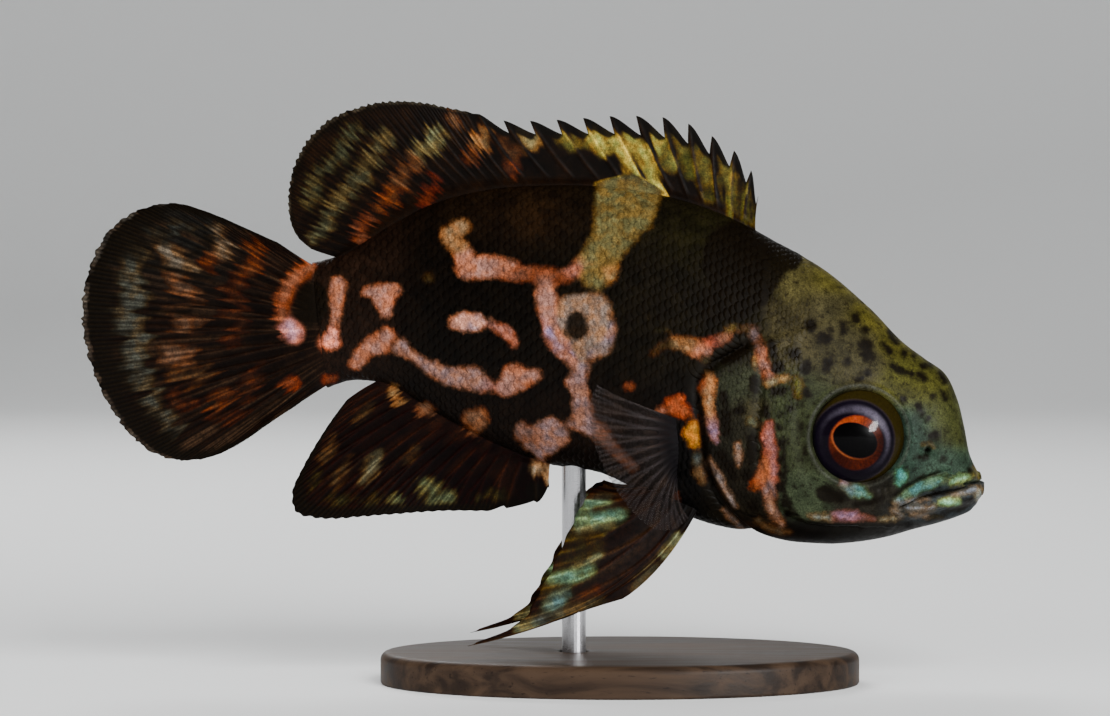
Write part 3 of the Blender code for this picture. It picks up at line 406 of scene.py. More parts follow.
# Ground colours as soft washes: (colour, x, z, reach along, reach up). Between them the nearest wins.
WASHES = [
    ((0.0160, 0.0120, 0.0060), 2.0, 40.0, 8.0, 8.0),
    ((0.0280, 0.0250, 0.0088), 8.0, 44.5, 4.0, 2.6),
    ((0.0220, 0.0125, 0.0060), -8.0, 46.5, 6.0, 2.6),
    ((0.0480, 0.0240, 0.0090), -8.5, 46.6, 1.8, 1.4),
    ((0.0085, 0.0052, 0.0022), -12.0, 34.0, 9.0, 8.0),
    ((0.0180, 0.0100, 0.0062), -8.0, 27.0, 9.0, 3.0),
    ((0.0280, 0.0150, 0.0090), -28.0, 37.0, 4.5, 8.0),
    ((0.0110, 0.0100, 0.0095), 4.5, 23.0, 3.5, 5.0),
    ((0.0180, 0.0140, 0.0072), 10.5, 38.5, 3.5, 5.0),
    ((0.105, 0.092, 0.038), 17.6, 40.2, 2.2, 1.8),
    ((0.150, 0.133, 0.033), 21.8, 40.6, 2.4, 1.2),
    ((0.139, 0.122, 0.026), 25.6, 37.0, 2.2, 1.2),
    ((0.128, 0.116, 0.026), 28.6, 34.2, 2.0, 1.0),
    ((0.090, 0.080, 0.040), 20.9, 37.6, 2.0, 1.4),
    ((0.080, 0.068, 0.033), 17.2, 35.2, 2.6, 2.4),
    ((0.080, 0.071, 0.034), 22.5, 33.6, 2.4, 2.2),
    ((0.057, 0.065, 0.033), 18.0, 26.2, 2.6, 3.4),
    ((0.074, 0.091, 0.053), 18.4, 19.2, 1.9, 1.5),
    ((0.065, 0.071, 0.043), 11.9, 29.6, 1.8, 1.6),
    ((0.080, 0.068, 0.034), 13.2, 27.6, 1.1, 0.9),
    ((0.034, 0.031, 0.020), 11.6, 25.0, 1.8, 2.4),
    ((0.026, 0.021, 0.013), 11.8, 19.6, 2.2, 2.2),
    ((0.108, 0.104, 0.027), 30.8, 30.4, 2.4, 2.0),
    ((0.088, 0.094, 0.034), 32.6, 26.6, 1.6, 2.2),
    ((0.052, 0.084, 0.062), 29.6, 24.4, 1.7, 2.4),
    ((0.066, 0.104, 0.074), 31.6, 22.6, 1.8, 1.0),
    ((0.037, 0.033, 0.024), 25.0, 18.4, 2.2, 1.6),
    ((0.060, 0.071, 0.076), 31.2, 17.4, 3.0, 1.0),
    ((0.021, 0.019, 0.015), 27.6, 14.8, 4.5, 1.1),
    ((0.014, 0.011, 0.008), 17.0, 13.8, 4.0, 1.4),
]
SPOT_COLOUR = (0.0135, 0.0090, 0.0040)
ORBIT_LINE, ORBIT_LINE_REACH, ORBIT_LINE_WIDTH, ORBIT_CLEAR = (0.085, 0.088, 0.070), 5.02, 0.16, 5.3
WANDER_ALONG, WANDER_UP, BELLY_SHADE, BELLY_BAND = 1.1, 1.0, 0.3, 3.5
BROWN_RIM, DARK_MOTTLE = (0.46, 0.34, 0.20, 1), (0.014, 0.009, 0.005, 1)
WARM_PAINT, COOL_PAINT = (1.10, 0.92, 0.78, 1), (0.90, 1.00, 1.20, 1)
PAINT_CONTRAST, PAINT_STRENGTH = 1.32, 0.84


def flat_view(places, mirrored=True):
    """Where places show on the flat drawing. The left side takes the same drawing, mirrored."""
    x, y, z = places[..., 0], places[..., 1], places[..., 2]
    near = -np.abs(y - sway(x)) + sway(x) if mirrored else y
    scale = VIEW_DISTANCE / (VIEW_DISTANCE + near)
    return VIEW_X + (x - VIEW_X) * scale, VIEW_Z + (z + near * VIEW_SLOPE - VIEW_Z) * scale


CELL_PRIMES = (73856093, 19349663, 83492791)


def grain(places, size, seed=0):
    """Smooth random values from -1 to 1 that change over about that size."""
    spot = np.asarray(places, dtype=float) / size + 31.7 * (seed + 1)
    cell = np.floor(spot).astype(np.int64)
    f = spot - cell
    f = f * f * (3 - 2 * f)
    total = np.zeros(spot.shape[:-1])
    for corner in product((0, 1), repeat=3):
        lot = sum((cell[..., k] + corner[k]) * prime for k, prime in enumerate(CELL_PRIMES))
        for shift, factor in ((13, 60493), (11, 19379)):
            lot = (lot ^ (lot >> shift)) * factor & 0xFFFFFFF
        weight = np.prod(np.where(np.array(corner) == 1, f, 1 - f), axis=-1)
        total += weight * (lot / 0xFFFFFFF)
    return 2 * total - 1


def inside(x, z, chain):
    """How far inside a drawn mark each place lies, in millimetres: less than nothing outside it."""
    if len(chain) == 1:
        cx, cz, reach = chain[0]
        return reach - np.hypot(x - cx, z - cz)
    best = np.full(x.shape, -1e9)
    for (ax, az, ar), (bx, bz, br) in zip(chain, chain[1:]):
        dx, dz = bx - ax, bz - az
        share = np.clip(((x - ax) * dx + (z - az) * dz) / max(dx * dx + dz * dz, 1e-9), 0, 1)
        best = np.maximum(best, ar + (br - ar) * share - np.hypot(x - ax - dx * share, z - az - dz * share))
    return best


def deepest(x, z, chains):
    return np.maximum.reduce([inside(x, z, chain) for chain in chains])


def drawn(x, z, marks, blend=0.16):
    """How far inside any mark each place lies, and the marks' colour there."""
    weight, colour = np.full(x.shape, 1e-12), np.zeros(x.shape + (3,))
    for paint, chain in marks:
        share = np.exp(np.clip(inside(x, z, chain), -4.0, 4.0) / blend)
        weight += share
        colour += share[..., None] * np.array(PAINTS[paint])
    return blend * np.log(weight), colour / weight[..., None]


def washed(x, z, washes):
    weight, colour = np.full(x.shape, 1e-12), np.zeros(x.shape + (3,))
    for paint, cx, cz, along, upward in washes:
        share = np.exp(-np.clip(((x - cx) / along) ** 2 + ((z - cz) / upward) ** 2, 0, 25))
        weight += share
        colour += share[..., None] * np.array(paint)
    return colour / weight[..., None]


def painting(ground, mark_colour, mark, spot):
    """The fields a painted finish reads: two colours, and how far inside marks and dark spots a place is."""
    return {"ground": ground, "mark_colour": mark_colour, "mark": np.clip(mark, -3, 3),
            "spot": np.clip(spot, -3, 3)}


def body_fields(places):
    """The paint on the body. On the left side the drawing wanders, so that the two sides aren't twins."""
    x, z = flat_view(places)
    far_side = smoothstep(0.5, 3.5, places[..., 1] - sway(places[..., 0]))
    far_side = far_side * smoothstep(24, 12, places[..., 0])
    x = x + far_side * WANDER_ALONG * grain(places, 8.0, 3)
    z = z + far_side * WANDER_UP * grain(places, 7.0, 4)
    mark, mark_colour = drawn(x, z, BODY_MARKS)
    spot = deepest(x, z, DARK_MARKS_AND_CREASE_SHADE + [[freckle] for freckle in FRECKLES])
    ground = washed(x, z, WASHES)
    eye = eye_distance(places[..., 0], places[..., 2])
    upper = 0.55 + 0.45 * smoothstep(-4.0, 4.0, (z - EYE_CENTRE[2]) - (x - EYE_CENTRE[0]))
    ring = (np.exp(-((eye - ORBIT_LINE_REACH) / ORBIT_LINE_WIDTH) ** 2) * upper)[..., None]
    ground = ground * (1 - ring) + np.array(ORBIT_LINE) * ring
    spot = np.where(eye < ORBIT_CLEAR, np.minimum(spot, (eye - ORBIT_CLEAR) * 2), spot)
    belly_line = np.interp(x, BODY_STATIONS[::-1, 2], BODY_STATIONS[::-1, 3])
    belly = smoothstep(-1.5, -5.0, z - belly_line - BELLY_BAND)
    ground = ground * (1 - BELLY_SHADE * belly[..., None])
    return painting(ground, mark_colour, mark, spot)


def grid_rim(rows, columns):
    """The points round the edge of an open grid, in order."""
    return np.concatenate([np.arange(columns), columns * np.arange(1, rows) + columns - 1,
                           columns * (rows - 1) + np.arange(columns - 2, -1, -1),
                           columns * np.arange(rows - 2, 0, -1)])


def grid_faces(rows, columns, closed=True):
    """Four-sided faces between the points of a grid whose columns close into a ring."""
    i = np.arange(rows - 1)[:, None]
    j = np.arange(columns if closed else columns - 1)[None, :]
    k = (j + 1) % columns
    corners = [i * columns + j, i * columns + k, (i + 1) * columns + k, (i + 1) * columns + j]
    return np.stack(np.broadcast_arrays(*corners), -1).reshape(-1, 4)


def make_piece(name, points, faces, fields=None):
    """A smooth mesh object from points in millimetres, with its named fields kept on its points."""
    mesh = bpy.data.meshes.new(name)
    mesh.from_pydata((np.asarray(points) * MM).tolist(), [], [list(f) for f in faces])
    for key, values in (fields or {}).items():
        values = np.asarray(values, dtype=np.float32)
        if values.ndim == 2:
            held = mesh.attributes.new(key, "FLOAT_COLOR", "POINT")
            values = np.concatenate([values, np.ones((len(values), 1), dtype=np.float32)], 1)
            held.data.foreach_set("color", values.ravel())
        else:
            held = mesh.attributes.new(key, "FLOAT", "POINT")
            held.data.foreach_set("value", values)
    mesh.shade_smooth()
    piece = bpy.data.objects.new(name, mesh)
    bpy.context.scene.collection.objects.link(piece)
    return piece


def flat_fields(fields):
    return {key: values.reshape(-1, 3) if values.shape[-1] == 3 and values.ndim > 2 else values.ravel()
            for key, values in fields.items()}


def new_material(name, **settings):
    """A material with its node tree and its shader. Settings are the shader's inputs, with _ for blanks."""
    made = bpy.data.materials.new(name)
    made.use_nodes = True
    shader = made.node_tree.nodes["Principled BSDF"]
    for key, value in settings.items():
        shader.inputs[key.replace("_", " ")].default_value = value
    return made, made.node_tree, shader


def node(tree, kind, inputs=None, **settings):
    """A shader node with its settings, and its inputs set or linked by name or number."""
    made = tree.nodes.new("ShaderNode" + kind)
    for key, value in settings.items():
        setattr(made, key, value)
    for key, value in (inputs or {}).items():
        if isinstance(value, bpy.types.NodeSocket):
            tree.links.new(value, made.inputs[key])
        else:
            made.inputs[key].default_value = value
    return made


def maths(tree, operation, a, b=0.0):
    return node(tree, "Math", {0: a, 1: b}, operation=operation).outputs[0]


def mixed(tree, factor, a, b, blend="MIX"):
    return node(tree, "Mix", {0: factor, 6: a, 7: b}, data_type="RGBA", blend_type=blend).outputs[2]


def ramp(tree, value, low, high, to_low=0.0, to_high=1.0):
    inputs = {"Value": value, "From Min": low, "From Max": high, "To Min": to_low, "To Max": to_high}
    return node(tree, "MapRange", inputs, interpolation_type="SMOOTHSTEP").outputs["Result"]


def noise(tree, size, detail=2.0, roughness=0.5):
    """A noise whose features are about that many millimetres across."""
    place = node(tree, "TexCoord").outputs["Object"]
    inputs = {"Vector": place, "Scale": 1 / (size * MM), "Detail": detail, "Roughness": roughness}
    return node(tree, "TexNoise", inputs).outputs["Fac"]


def named(tree, field, output="Fac"):
    """What a piece's points hold under that name."""
    return node(tree, "Attribute", attribute_name=field).outputs[output]


def connect(tree, **links):
    """Joins values to the shader's inputs, with _ for blanks."""
    shader = tree.nodes["Principled BSDF"]
    for key, value in links.items():
        tree.links.new(value, shader.inputs[key.replace("_", " ")])


def bumpy(tree, height, strength, depth):
    inputs = {"Height": height, "Strength": strength, "Distance": depth * MM}
    return node(tree, "Bump", inputs).outputs["Normal"]


def painted_finish(name, wobble=0.30, tone=None, roughness=0.50, soft=0.0):
    """Hand-painted skin: ground, marks with a browner rim, dark spots, fine speckle and pores."""
    made, tree, _ = new_material(name, Specular_IOR_Level=0.05)
    broad = maths(tree, "SUBTRACT", noise(tree, 0.9, 3.0, 0.6), 0.5)
    fine = maths(tree, "SUBTRACT", noise(tree, 0.22, 2.0), 0.5)
    broad, fine = maths(tree, "MULTIPLY", broad, wobble * 3.0), maths(tree, "MULTIPLY", fine, wobble)
    shift = maths(tree, "ADD", broad, fine)
    mark = maths(tree, "ADD", named(tree, "mark"), shift)
    spot = maths(tree, "ADD", named(tree, "spot"), shift)
    speckle = ramp(tree, noise(tree, 0.16, 3.0, 0.7), 0.25, 0.75, 0.62, 1.38)
    patchy = ramp(tree, noise(tree, 1.6, 3.0, 0.6), 0.3, 0.7, 0.72, 1.28)
    cloudy = ramp(tree, noise(tree, 0.8, 3.0, 0.7), 0.3, 0.7, 0.66, 1.24)
    warmth = ramp(tree, noise(tree, 1.2, 2.0), 0.35, 0.65)
    warmth = mixed(tree, warmth, WARM_PAINT, COOL_PAINT)
    mottle = ramp(tree, noise(tree, 0.5, 2.0, 0.6), 0.50, 0.72, 0.0, 0.60)
    ground = mixed(tree, 1.0, named(tree, "ground", "Color"), patchy, "MULTIPLY")
    ground = mixed(tree, mottle, ground, DARK_MOTTLE)
    bright = mixed(tree, 1.0, named(tree, "mark_colour", "Color"), cloudy, "MULTIPLY")
    bright = mixed(tree, 1.0, bright, warmth, "MULTIPLY")
    rim = mixed(tree, 1.0, bright, BROWN_RIM, "MULTIPLY")
    colour = mixed(tree, ramp(tree, mark, -0.30 - soft, 0.18), ground, rim)
    colour = mixed(tree, ramp(tree, mark, -0.08 - soft, 0.60 + soft), colour, bright)
    colour = mixed(tree, ramp(tree, spot, -0.32, 0.30, 0.0, 0.94), colour, (*SPOT_COLOUR, 1))
    colour = mixed(tree, 1.0, colour, speckle, "MULTIPLY")
    if tone:
        colour = mixed(tree, 1.0, colour, named(tree, tone), "MULTIPLY")
    colour = node(tree, "Gamma", {"Color": colour, "Gamma": PAINT_CONTRAST}).outputs["Color"]
    colour = mixed(tree, 1.0, colour, (PAINT_STRENGTH, PAINT_STRENGTH, PAINT_STRENGTH, 1), "MULTIPLY")
    gloss = ramp(tree, noise(tree, 0.5, 2.0), 0.3, 0.7, roughness - 0.06, roughness + 0.08)
    pores = bumpy(tree, noise(tree, 0.14, 3.0, 0.6), 0.35, 0.03)
    connect(tree, Base_Color=colour, Roughness=gloss, Normal=pores)
    return made


def skin_grid():
    stations = [np.linspace(k, k + 1, n, endpoint=False) for k, n in enumerate(SKIN_ROWS)]
    stations = np.concatenate(stations + [np.array([LAST_STATION])])
    angles = np.linspace(0, 2 * pi, SKIN_RING, endpoint=False)
    return np.meshgrid(stations, angles, indexing="ij")


SKIN_DEPTH = 0.05
skin_station, skin_angle = skin_grid()
skin_base = body(skin_station, skin_angle)
skin_out = body_out(skin_station, skin_angle)
skin_places = skin_base + skin_out * (relief_on(skin_base) - SKIN_DEPTH)[..., None]

# The lips close over the front in a few rounded rows, parted by the end of the mouth line.
LIP_ROWS, LIP_SLIT, LIP_SLIT_LEVEL, LIP_SLIT_WIDTH = 9, 0.36, 20.4, 0.13
first = skin_places[0]
lip_rows = []
for turn in np.linspace(85, 12, LIP_ROWS):
    ring = SNOUT_TIP + (first - SNOUT_TIP) * sin(radians(turn)) ** 0.9
    bulge = SNOUT_TIP[0] - first[:, 0] + 0.25 * smoothstep(20.9, 20.0, first[:, 2])
    ring[:, 0] = first[:, 0] + bulge * cos(radians(turn)) ** 0.6
    slit = ridge(np.abs(ring[:, 2] - LIP_SLIT_LEVEL), LIP_SLIT_WIDTH)
    ring[:, 0] -= LIP_SLIT * slit * cos(radians(turn)) ** 0.5
    lip_rows.append(ring)

# At the tail it turns in under the root of the fin, in rows of (share of the width, distance back).
TAIL_END_ROWS = ((0.985, 0.10), (0.93, 0.24), (0.80, 0.36), (0.55, 0.42))
last = skin_places[-1]
middle = last.mean(0)
end_rows = [middle + (last - middle) * shrink - (back, 0, 0) for shrink, back in TAIL_END_ROWS]
skin_places = np.concatenate([np.array(lip_rows[::-1]), skin_places, np.array(end_rows)])
rows, ring_count = skin_places.shape[:2]
points = skin_places.reshape(-1, 3)
snout = len(points)
points = np.concatenate([points, [SNOUT_TIP + (-0.5, 0, 0)], [points[-ring_count:].mean(0) - (0.02, 0, 0)]])
faces = grid_faces(rows, ring_count).tolist()
faces += [(snout, (j + 1) % ring_count, j) for j in range(ring_count)]
end = (rows - 1) * ring_count
faces += [(snout + 1, end + j, end + (j + 1) % ring_count) for j in range(ring_count)]
skin = make_piece("skin", points, faces, flat_fields(body_fields(points[None])))
skin.data.flip_normals()
skin_finish = painted_finish("painted_skin")
skin.data.materials.append(skin_finish)
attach(skin, "root")
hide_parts("head", "lower_jaw", "torso", "tail_stalk", "gill_cover_right", "gill_cover_left")

# Scales.
# Thin overlapping plates in staggered rows along the trunk, and smaller ones on the nape, gill covers and
# cheeks. They are cast with the skin and lie almost flat, and the muzzle, jaws and lips have none.
TRUNK_SCALES = {"pitch": 1.12, "row": 0.56, "length": 1.06, "height": 0.84, "lift": 0.075, "grid": 8}
HEAD_SCALES = {"pitch": 0.84, "row": 0.42, "length": 0.80, "height": 0.63, "lift": 0.055, "grid": 7}
SCALE_EDGE_DEPTH, SCALE_ROOT_DEPTH, GROWTH_RINGS = 0.08, 0.14, 26.0
SCALE_GROWTH, SCALE_TURN, SCALE_TONE = (0.94, 1.06), 0.05, 0.06
SCALES_FRONT, SCALES_REAR, NAPE_LEVEL, SCALE_MARGIN, GILL_GAP = 15.0, -30.2, 34.6, 0.2, 0.75
SIDES = ((-1, "right"), (1, "left"))
ARC_STEP, ARC_REACH, STATION_STEP = 0.2, 22.0, 0.05
BAKE_SPREAD = 0.0015

stations = np.arange(0, LAST_STATION + 1e-6, STATION_STEP)
down_the_side = np.linspace(pi / 2, 3 * pi / 2, 241)
side_points = body(*np.meshgrid(stations, down_the_side, indexing="ij"))
steps = np.linalg.norm(np.diff(side_points, axis=1), axis=-1)
arc = np.concatenate([np.zeros((len(stations), 1)), np.cumsum(steps, 1)], 1)
middle_column = len(down_the_side) // 2
arc = arc[:, middle_column:middle_column + 1] - arc
arc_levels = np.arange(-ARC_REACH, ARC_REACH + 1e-6, ARC_STEP)
angle_at = np.array([np.interp(-arc_levels, -row, down_the_side) for row in arc])
top_arc, low_arc = arc[:, 0], arc[:, -1]
middle_line = side_points[:, middle_column]
run = np.concatenate([[0], np.cumsum(np.linalg.norm(np.diff(middle_line, axis=0), axis=-1))])


def unrolled(u, v):
    """Station and angle of places given by distance along the mid-side line and up (+) or down the side."""
    station = np.interp(u, run, stations)
    i = np.clip(station / STATION_STEP, 0, len(stations) - 1.001)
    j = np.clip((v + ARC_REACH) / ARC_STEP, 0, len(arc_levels) - 1.001)
    i0, j0 = i.astype(int), j.astype(int)
    fi, fj = i - i0, j - j0
    angle = ((angle_at[i0, j0] * (1 - fj) + angle_at[i0, j0 + 1] * fj) * (1 - fi)
             + (angle_at[i0 + 1, j0] * (1 - fj) + angle_at[i0 + 1, j0 + 1] * fj) * fi)
    return station, angle


def scale_centres(size, wanted):
    """Centres (u, v) of a staggered field of scales, where wanted says that a place has them."""
    rows = int(ARC_REACH / size["row"])
    found = []
    for k in range(-rows, rows + 1):
        u = np.arange(0.5, run[-1], size["pitch"]) + (k % 2) * size["pitch"] / 2
        v = np.full(u.shape, k * size["row"])
        station, _ = unrolled(u, v)
        below_back = v < np.interp(station, stations, top_arc) - SCALE_MARGIN
        above_belly = v > np.interp(station, stations, low_arc) + SCALE_MARGIN
        found.append(np.stack([u, v], 1)[below_back & above_belly])
    found = np.concatenate(found)
    station, angle = unrolled(found[:, 0], found[:, 1])
    return found[wanted(body(station, angle))]


def on_trunk(places):
    x, z = places[:, 0], places[:, 2]
    near, hand = line_distance(x, z, smooth_line(GILL_EDGE))
    behind_gills = (hand < 0) & (near > GILL_GAP) & (x < 12.5)
    return (x > SCALES_REAR) & (x < SCALES_FRONT) & (behind_gills | (z > NAPE_LEVEL))


def on_cheek(places):
    x, z = places[:, 0], places[:, 2]
    near, hand = line_distance(x, z, smooth_line(GILL_EDGE))
    edge, _ = line_distance(x, z, smooth_line(CHEEK_EDGE))
    cover = (hand > 0) & (near > 0.9) & (edge > 0.6) & (x < 18.2) & (z > 17.5) & (z < 34.0)
    nape = (z >= 34.4) & (x >= 15.0) & (x < 19.6)
    return (cover | nape) & (eye_distance(x, z) > 6.0)


def scale_fade(places):
    """Scales sink into the skin towards the eye, the muzzle and the edge of the nape."""
    x, z = places[..., 0], places[..., 2]
    eye = smoothstep(5.9, 7.6, eye_distance(x, z))
    front = smoothstep(18.6, 16.6, x) + smoothstep(34.2, 36.4, z) * smoothstep(20.0, 16.8, x)
    behind = smoothstep(15.6, 14.6, x)
    return np.clip(np.maximum(eye * front, behind), 0, 1)


def scale_mesh(name, size, centres, side):
    """One joined mesh of closed plates, with the paint of the skin under them and their own bake map."""
    n = size["grid"]
    line = np.linspace(-1, 1, n)
    a, b = np.meshgrid(line, line, indexing="ij")
    along, across = a * np.sqrt(1 - b * b / 2), b * np.sqrt(1 - a * a / 2)
    draws = np.random.default_rng(len(centres) + int(side * 7))
    grow = draws.uniform(*SCALE_GROWTH, len(centres))
    turn = draws.normal(0, SCALE_TURN, len(centres))
    du = along[None] * size["length"] * grow[:, None, None]
    dv = across[None] * size["height"] * grow[:, None, None]
    u = centres[:, 0, None, None] + du * np.cos(turn)[:, None, None] - dv * np.sin(turn)[:, None, None]
    v = centres[:, 1, None, None] + dv * np.cos(turn)[:, None, None] + du * np.sin(turn)[:, None, None]
    v = np.clip(v, np.interp(u, run, low_arc) + 0.02, np.interp(u, run, top_arc) - 0.02)
    station, angle = unrolled(np.clip(u, 0.02, run[-1] - 0.02), v)
    if side > 0:
        angle = pi - angle
    base, out = body(station, angle), body_out(station, angle)
    lifted = relief_on(base)
    rear = (along + 1) / 2
    reach = np.hypot(along, across)
    crown = size["lift"] * (rear ** 1.2 - 0.15) - 0.02 * smoothstep(0.80, 1.0, reach)
    crown = crown + 0.004 * np.cos(reach * GROWTH_RINGS) * smoothstep(0.25, 0.5, rear)
    fade = scale_fade(base)
    top = base + out * (lifted + (crown[None] + SCALE_EDGE_DEPTH) * fade - SCALE_EDGE_DEPTH)[..., None]
    under = base + out * (lifted - SCALE_ROOT_DEPTH)[..., None]
    rim_index = grid_rim(n, n)
    count, top_points = len(centres), n * n
    per = top_points + len(rim_index) + 1
    skirt = under.reshape(count, -1, 3)[:, rim_index]
    keel = under.reshape(count, -1, 3).mean(1, keepdims=True)
    points = np.concatenate([top.reshape(count, -1, 3), skirt, keel], 1)
    plate = grid_faces(n, n, closed=False)
    m = len(rim_index)
    k = np.arange(m)
    wall = np.stack([rim_index, top_points + k, top_points + (k + 1) % m, rim_index[(k + 1) % m]], 1)
    floor_fan = np.stack([top_points + k, np.full(m, per - 1), top_points + (k + 1) % m], 1)
    starts = (np.arange(count) * per)[:, None, None]
    quads = (np.concatenate([plate, wall])[None] + starts).reshape(-1, 4).tolist()
    faces = quads + (floor_fan[None] + starts).reshape(-1, 3).tolist()
    fields = body_fields(points)
    shade = np.repeat(draws.normal(1.0, SCALE_TONE, count)[:, None], per, axis=1)
    edge = 1.05 - 0.13 * smoothstep(0.72, 1.0, reach) + 0.04 * np.cos(reach * GROWTH_RINGS)
    shade[:, :top_points] *= edge.ravel()[None]
    # The plates' walls, tucked under their edges, are painted darker as shade.
    shade[:, top_points:] *= 0.8
    fields["shade"] = 1 + (shade - 1) * fade.reshape(count, -1).min(1, keepdims=True)
    piece = make_piece(name, points.reshape(-1, 3), faces, flat_fields(fields))
    if side > 0:
        piece.data.flip_normals()
    root_u, root_v = centres[:, 0] / run[-1], (centres[:, 1] + ARC_REACH) / (2 * ARC_REACH)
    flat = np.stack([along, across], -1).reshape(-1, 2)
    flat = np.concatenate([flat, flat[rim_index], [[0, 0]]])
    places = np.stack([root_u, root_v], 1)[:, None] * 0.96 + 0.02 + flat[None] * BAKE_SPREAD
    places = places.reshape(-1, 2)
    bake = piece.data.uv_layers.new(name="OFBake")
    corner = np.empty(len(piece.data.loops), dtype=np.int32)
    piece.data.loops.foreach_get("vertex_index", corner)
    bake.data.foreach_set("uv", places[corner].astype(np.float32).ravel())
    return piece


scale_finish = painted_finish("painted_scales", tone="shade", roughness=0.46)
trunk_centres = scale_centres(TRUNK_SCALES, on_trunk)
cheek_centres = scale_centres(HEAD_SCALES, on_cheek)
for side, word in SIDES:
    upper = trunk_centres[:, 1] >= 0
    for name, size, centres in ((f"scales_back_{word}", TRUNK_SCALES, trunk_centres[upper]),
                                (f"scales_belly_{word}", TRUNK_SCALES, trunk_centres[~upper]),
                                (f"scales_cheek_{word}", HEAD_SCALES, cheek_centres)):
        piece = scale_mesh(name, size, centres, side)
        piece.data.materials.append(scale_finish)
        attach(piece, "root")

# Eyes.
# Polished domes set in the orbits and looking slightly forward: a dark violet iris with a painted lilac
# highlight above and in front of the pupil, an orange ring that widens below and in front, a leaning oval
# pupil, and the orbit's shadow painted in olive over the iris' upper edge.
EYE_HALF_THICKNESS, EYE_TURN = 2.4, radians(8)
EYE_RINGS, EYE_AROUND, EYE_FRONT_TURN, EYE_BACK_RINGS, PUPIL_RISE = 84, 160, 1.45, 18, 0.08
PUPIL_CENTRE, PUPIL_HALF_LENGTH, PUPIL_HALF_HEIGHT, PUPIL_LEAN = (-0.72, -0.30), 2.26, 1.66, radians(-24)
IRIS_CENTRE, IRIS_RADIUS = (-0.72, -0.42), 4.08
RING_CENTRE, RING_RADIUS = (-0.58, -0.58), 2.78
IRIS_DARK, IRIS_VIOLET, LILAC_HIGHLIGHT = (0.0026, 0.0014, 0.0036), (0.0055, 0.0036, 0.0082), (0.096, 0.082, 0.114)
IRIS_EDGE, IRIS_LINE, ORBIT_SHADE_OLIVE = (0.0030, 0.0020, 0.0045), (0.034, 0.024, 0.030), (0.015, 0.0105, 0.0016)
RING_DEEP, RING_BRIGHT, RING_LINE = (0.014, 0.0018, 0.0008), (0.250, 0.032, 0.006), (0.300, 0.075, 0.020)
PUPIL_BLACK, DOME_EDGE, DOME_BACK = (0.0006, 0.0005, 0.0006), (0.006, 0.005, 0.005), (0.012, 0.010, 0.010)


def pupil_share(a, b):
    """Distance from the pupil's middle in pupil sizes, at a forward and b up from the eye's middle."""
    da, db = a - PUPIL_CENTRE[0], b - PUPIL_CENTRE[1]
    long_way = da * cos(PUPIL_LEAN) + db * sin(PUPIL_LEAN)
    short_way = db * cos(PUPIL_LEAN) - da * sin(PUPIL_LEAN)
    return np.hypot(long_way / PUPIL_HALF_LENGTH, short_way / PUPIL_HALF_HEIGHT)


def blend(first, second, share):
    share = np.asarray(share)[..., None]
    return np.asarray(first) * (1 - share) + np.asarray(second) * share


def towards(turn, degrees, narrow=1.0):
    """1 in one direction round the pupil, falling to nothing in the opposite one."""
    return (0.5 + 0.5 * np.cos(turn - radians(degrees))) ** narrow


def eye_paint(a, b):
    da, db = a - PUPIL_CENTRE[0], b - PUPIL_CENTRE[1]
    share, turn = pupil_share(a, b), np.arctan2(db, da)
    beyond = np.hypot(da, db) * (1 - 1 / np.maximum(share, 0.05))
    spot = np.stack([np.cos(turn) * 3, np.sin(turn) * 3, beyond * 0.5], -1)
    streak = 0.78 + 0.34 * grain(spot, 0.20, 1) + 0.16 * grain(spot, 0.08, 2)
    iris = np.hypot(a - IRIS_CENTRE[0], b - IRIS_CENTRE[1])
    colour = blend(IRIS_DARK, IRIS_VIOLET, towards(turn, 150, 2) * smoothstep(0.8, 2.2, beyond))
    # A painted highlight: a lilac gleam over the upper side of the pupil, strongest above and in front.
    highlight_crescent = np.maximum(towards(turn, 38, 4), 0.40 * towards(turn, 115, 8))
    highlight_crescent = highlight_crescent * smoothstep(0.75, 1.25, beyond) * (1 - smoothstep(3.25, 3.80, iris))
    colour = blend(colour, LILAC_HIGHLIGHT, highlight_crescent * (0.45 + 0.45 * streak))
    colour = blend(colour, IRIS_EDGE, smoothstep(3.60, 4.0, iris))
    # Painted shade: the orbit's shadow, in olive, over the dome beyond the iris, widest above.
    colour = blend(colour, ORBIT_SHADE_OLIVE, smoothstep(IRIS_RADIUS - 0.10, IRIS_RADIUS + 0.12, iris))
    colour = blend(colour, IRIS_LINE, np.exp(-((iris - IRIS_RADIUS) / 0.10) ** 2) * 0.3)
    band = np.hypot(a - RING_CENTRE[0], b - RING_CENTRE[1])
    ring = smoothstep(-0.04, 0.06, beyond) * (1 - smoothstep(RING_RADIUS - 0.22, RING_RADIUS + 0.06, band))
    lit = np.maximum(towards(turn, 110, 3), 0.12 * towards(turn, -75, 8))
    red = blend(RING_DEEP, RING_BRIGHT, lit)
    colour = blend(colour, red * streak[..., None] * 1.15, ring)
    line = np.exp(-((beyond - 0.11) / 0.08) ** 2) * (0.06 + 0.94 * towards(turn, 205, 3))
    colour = blend(colour, RING_LINE, line * 0.7)
    colour = blend(colour, PUPIL_BLACK, 1 - smoothstep(-0.10, 0.04, beyond))
    edge = smoothstep(4.45, 4.75, np.hypot(a, b))
    return blend(colour * (0.85 + 0.15 * streak[..., None]), DOME_EDGE, edge)


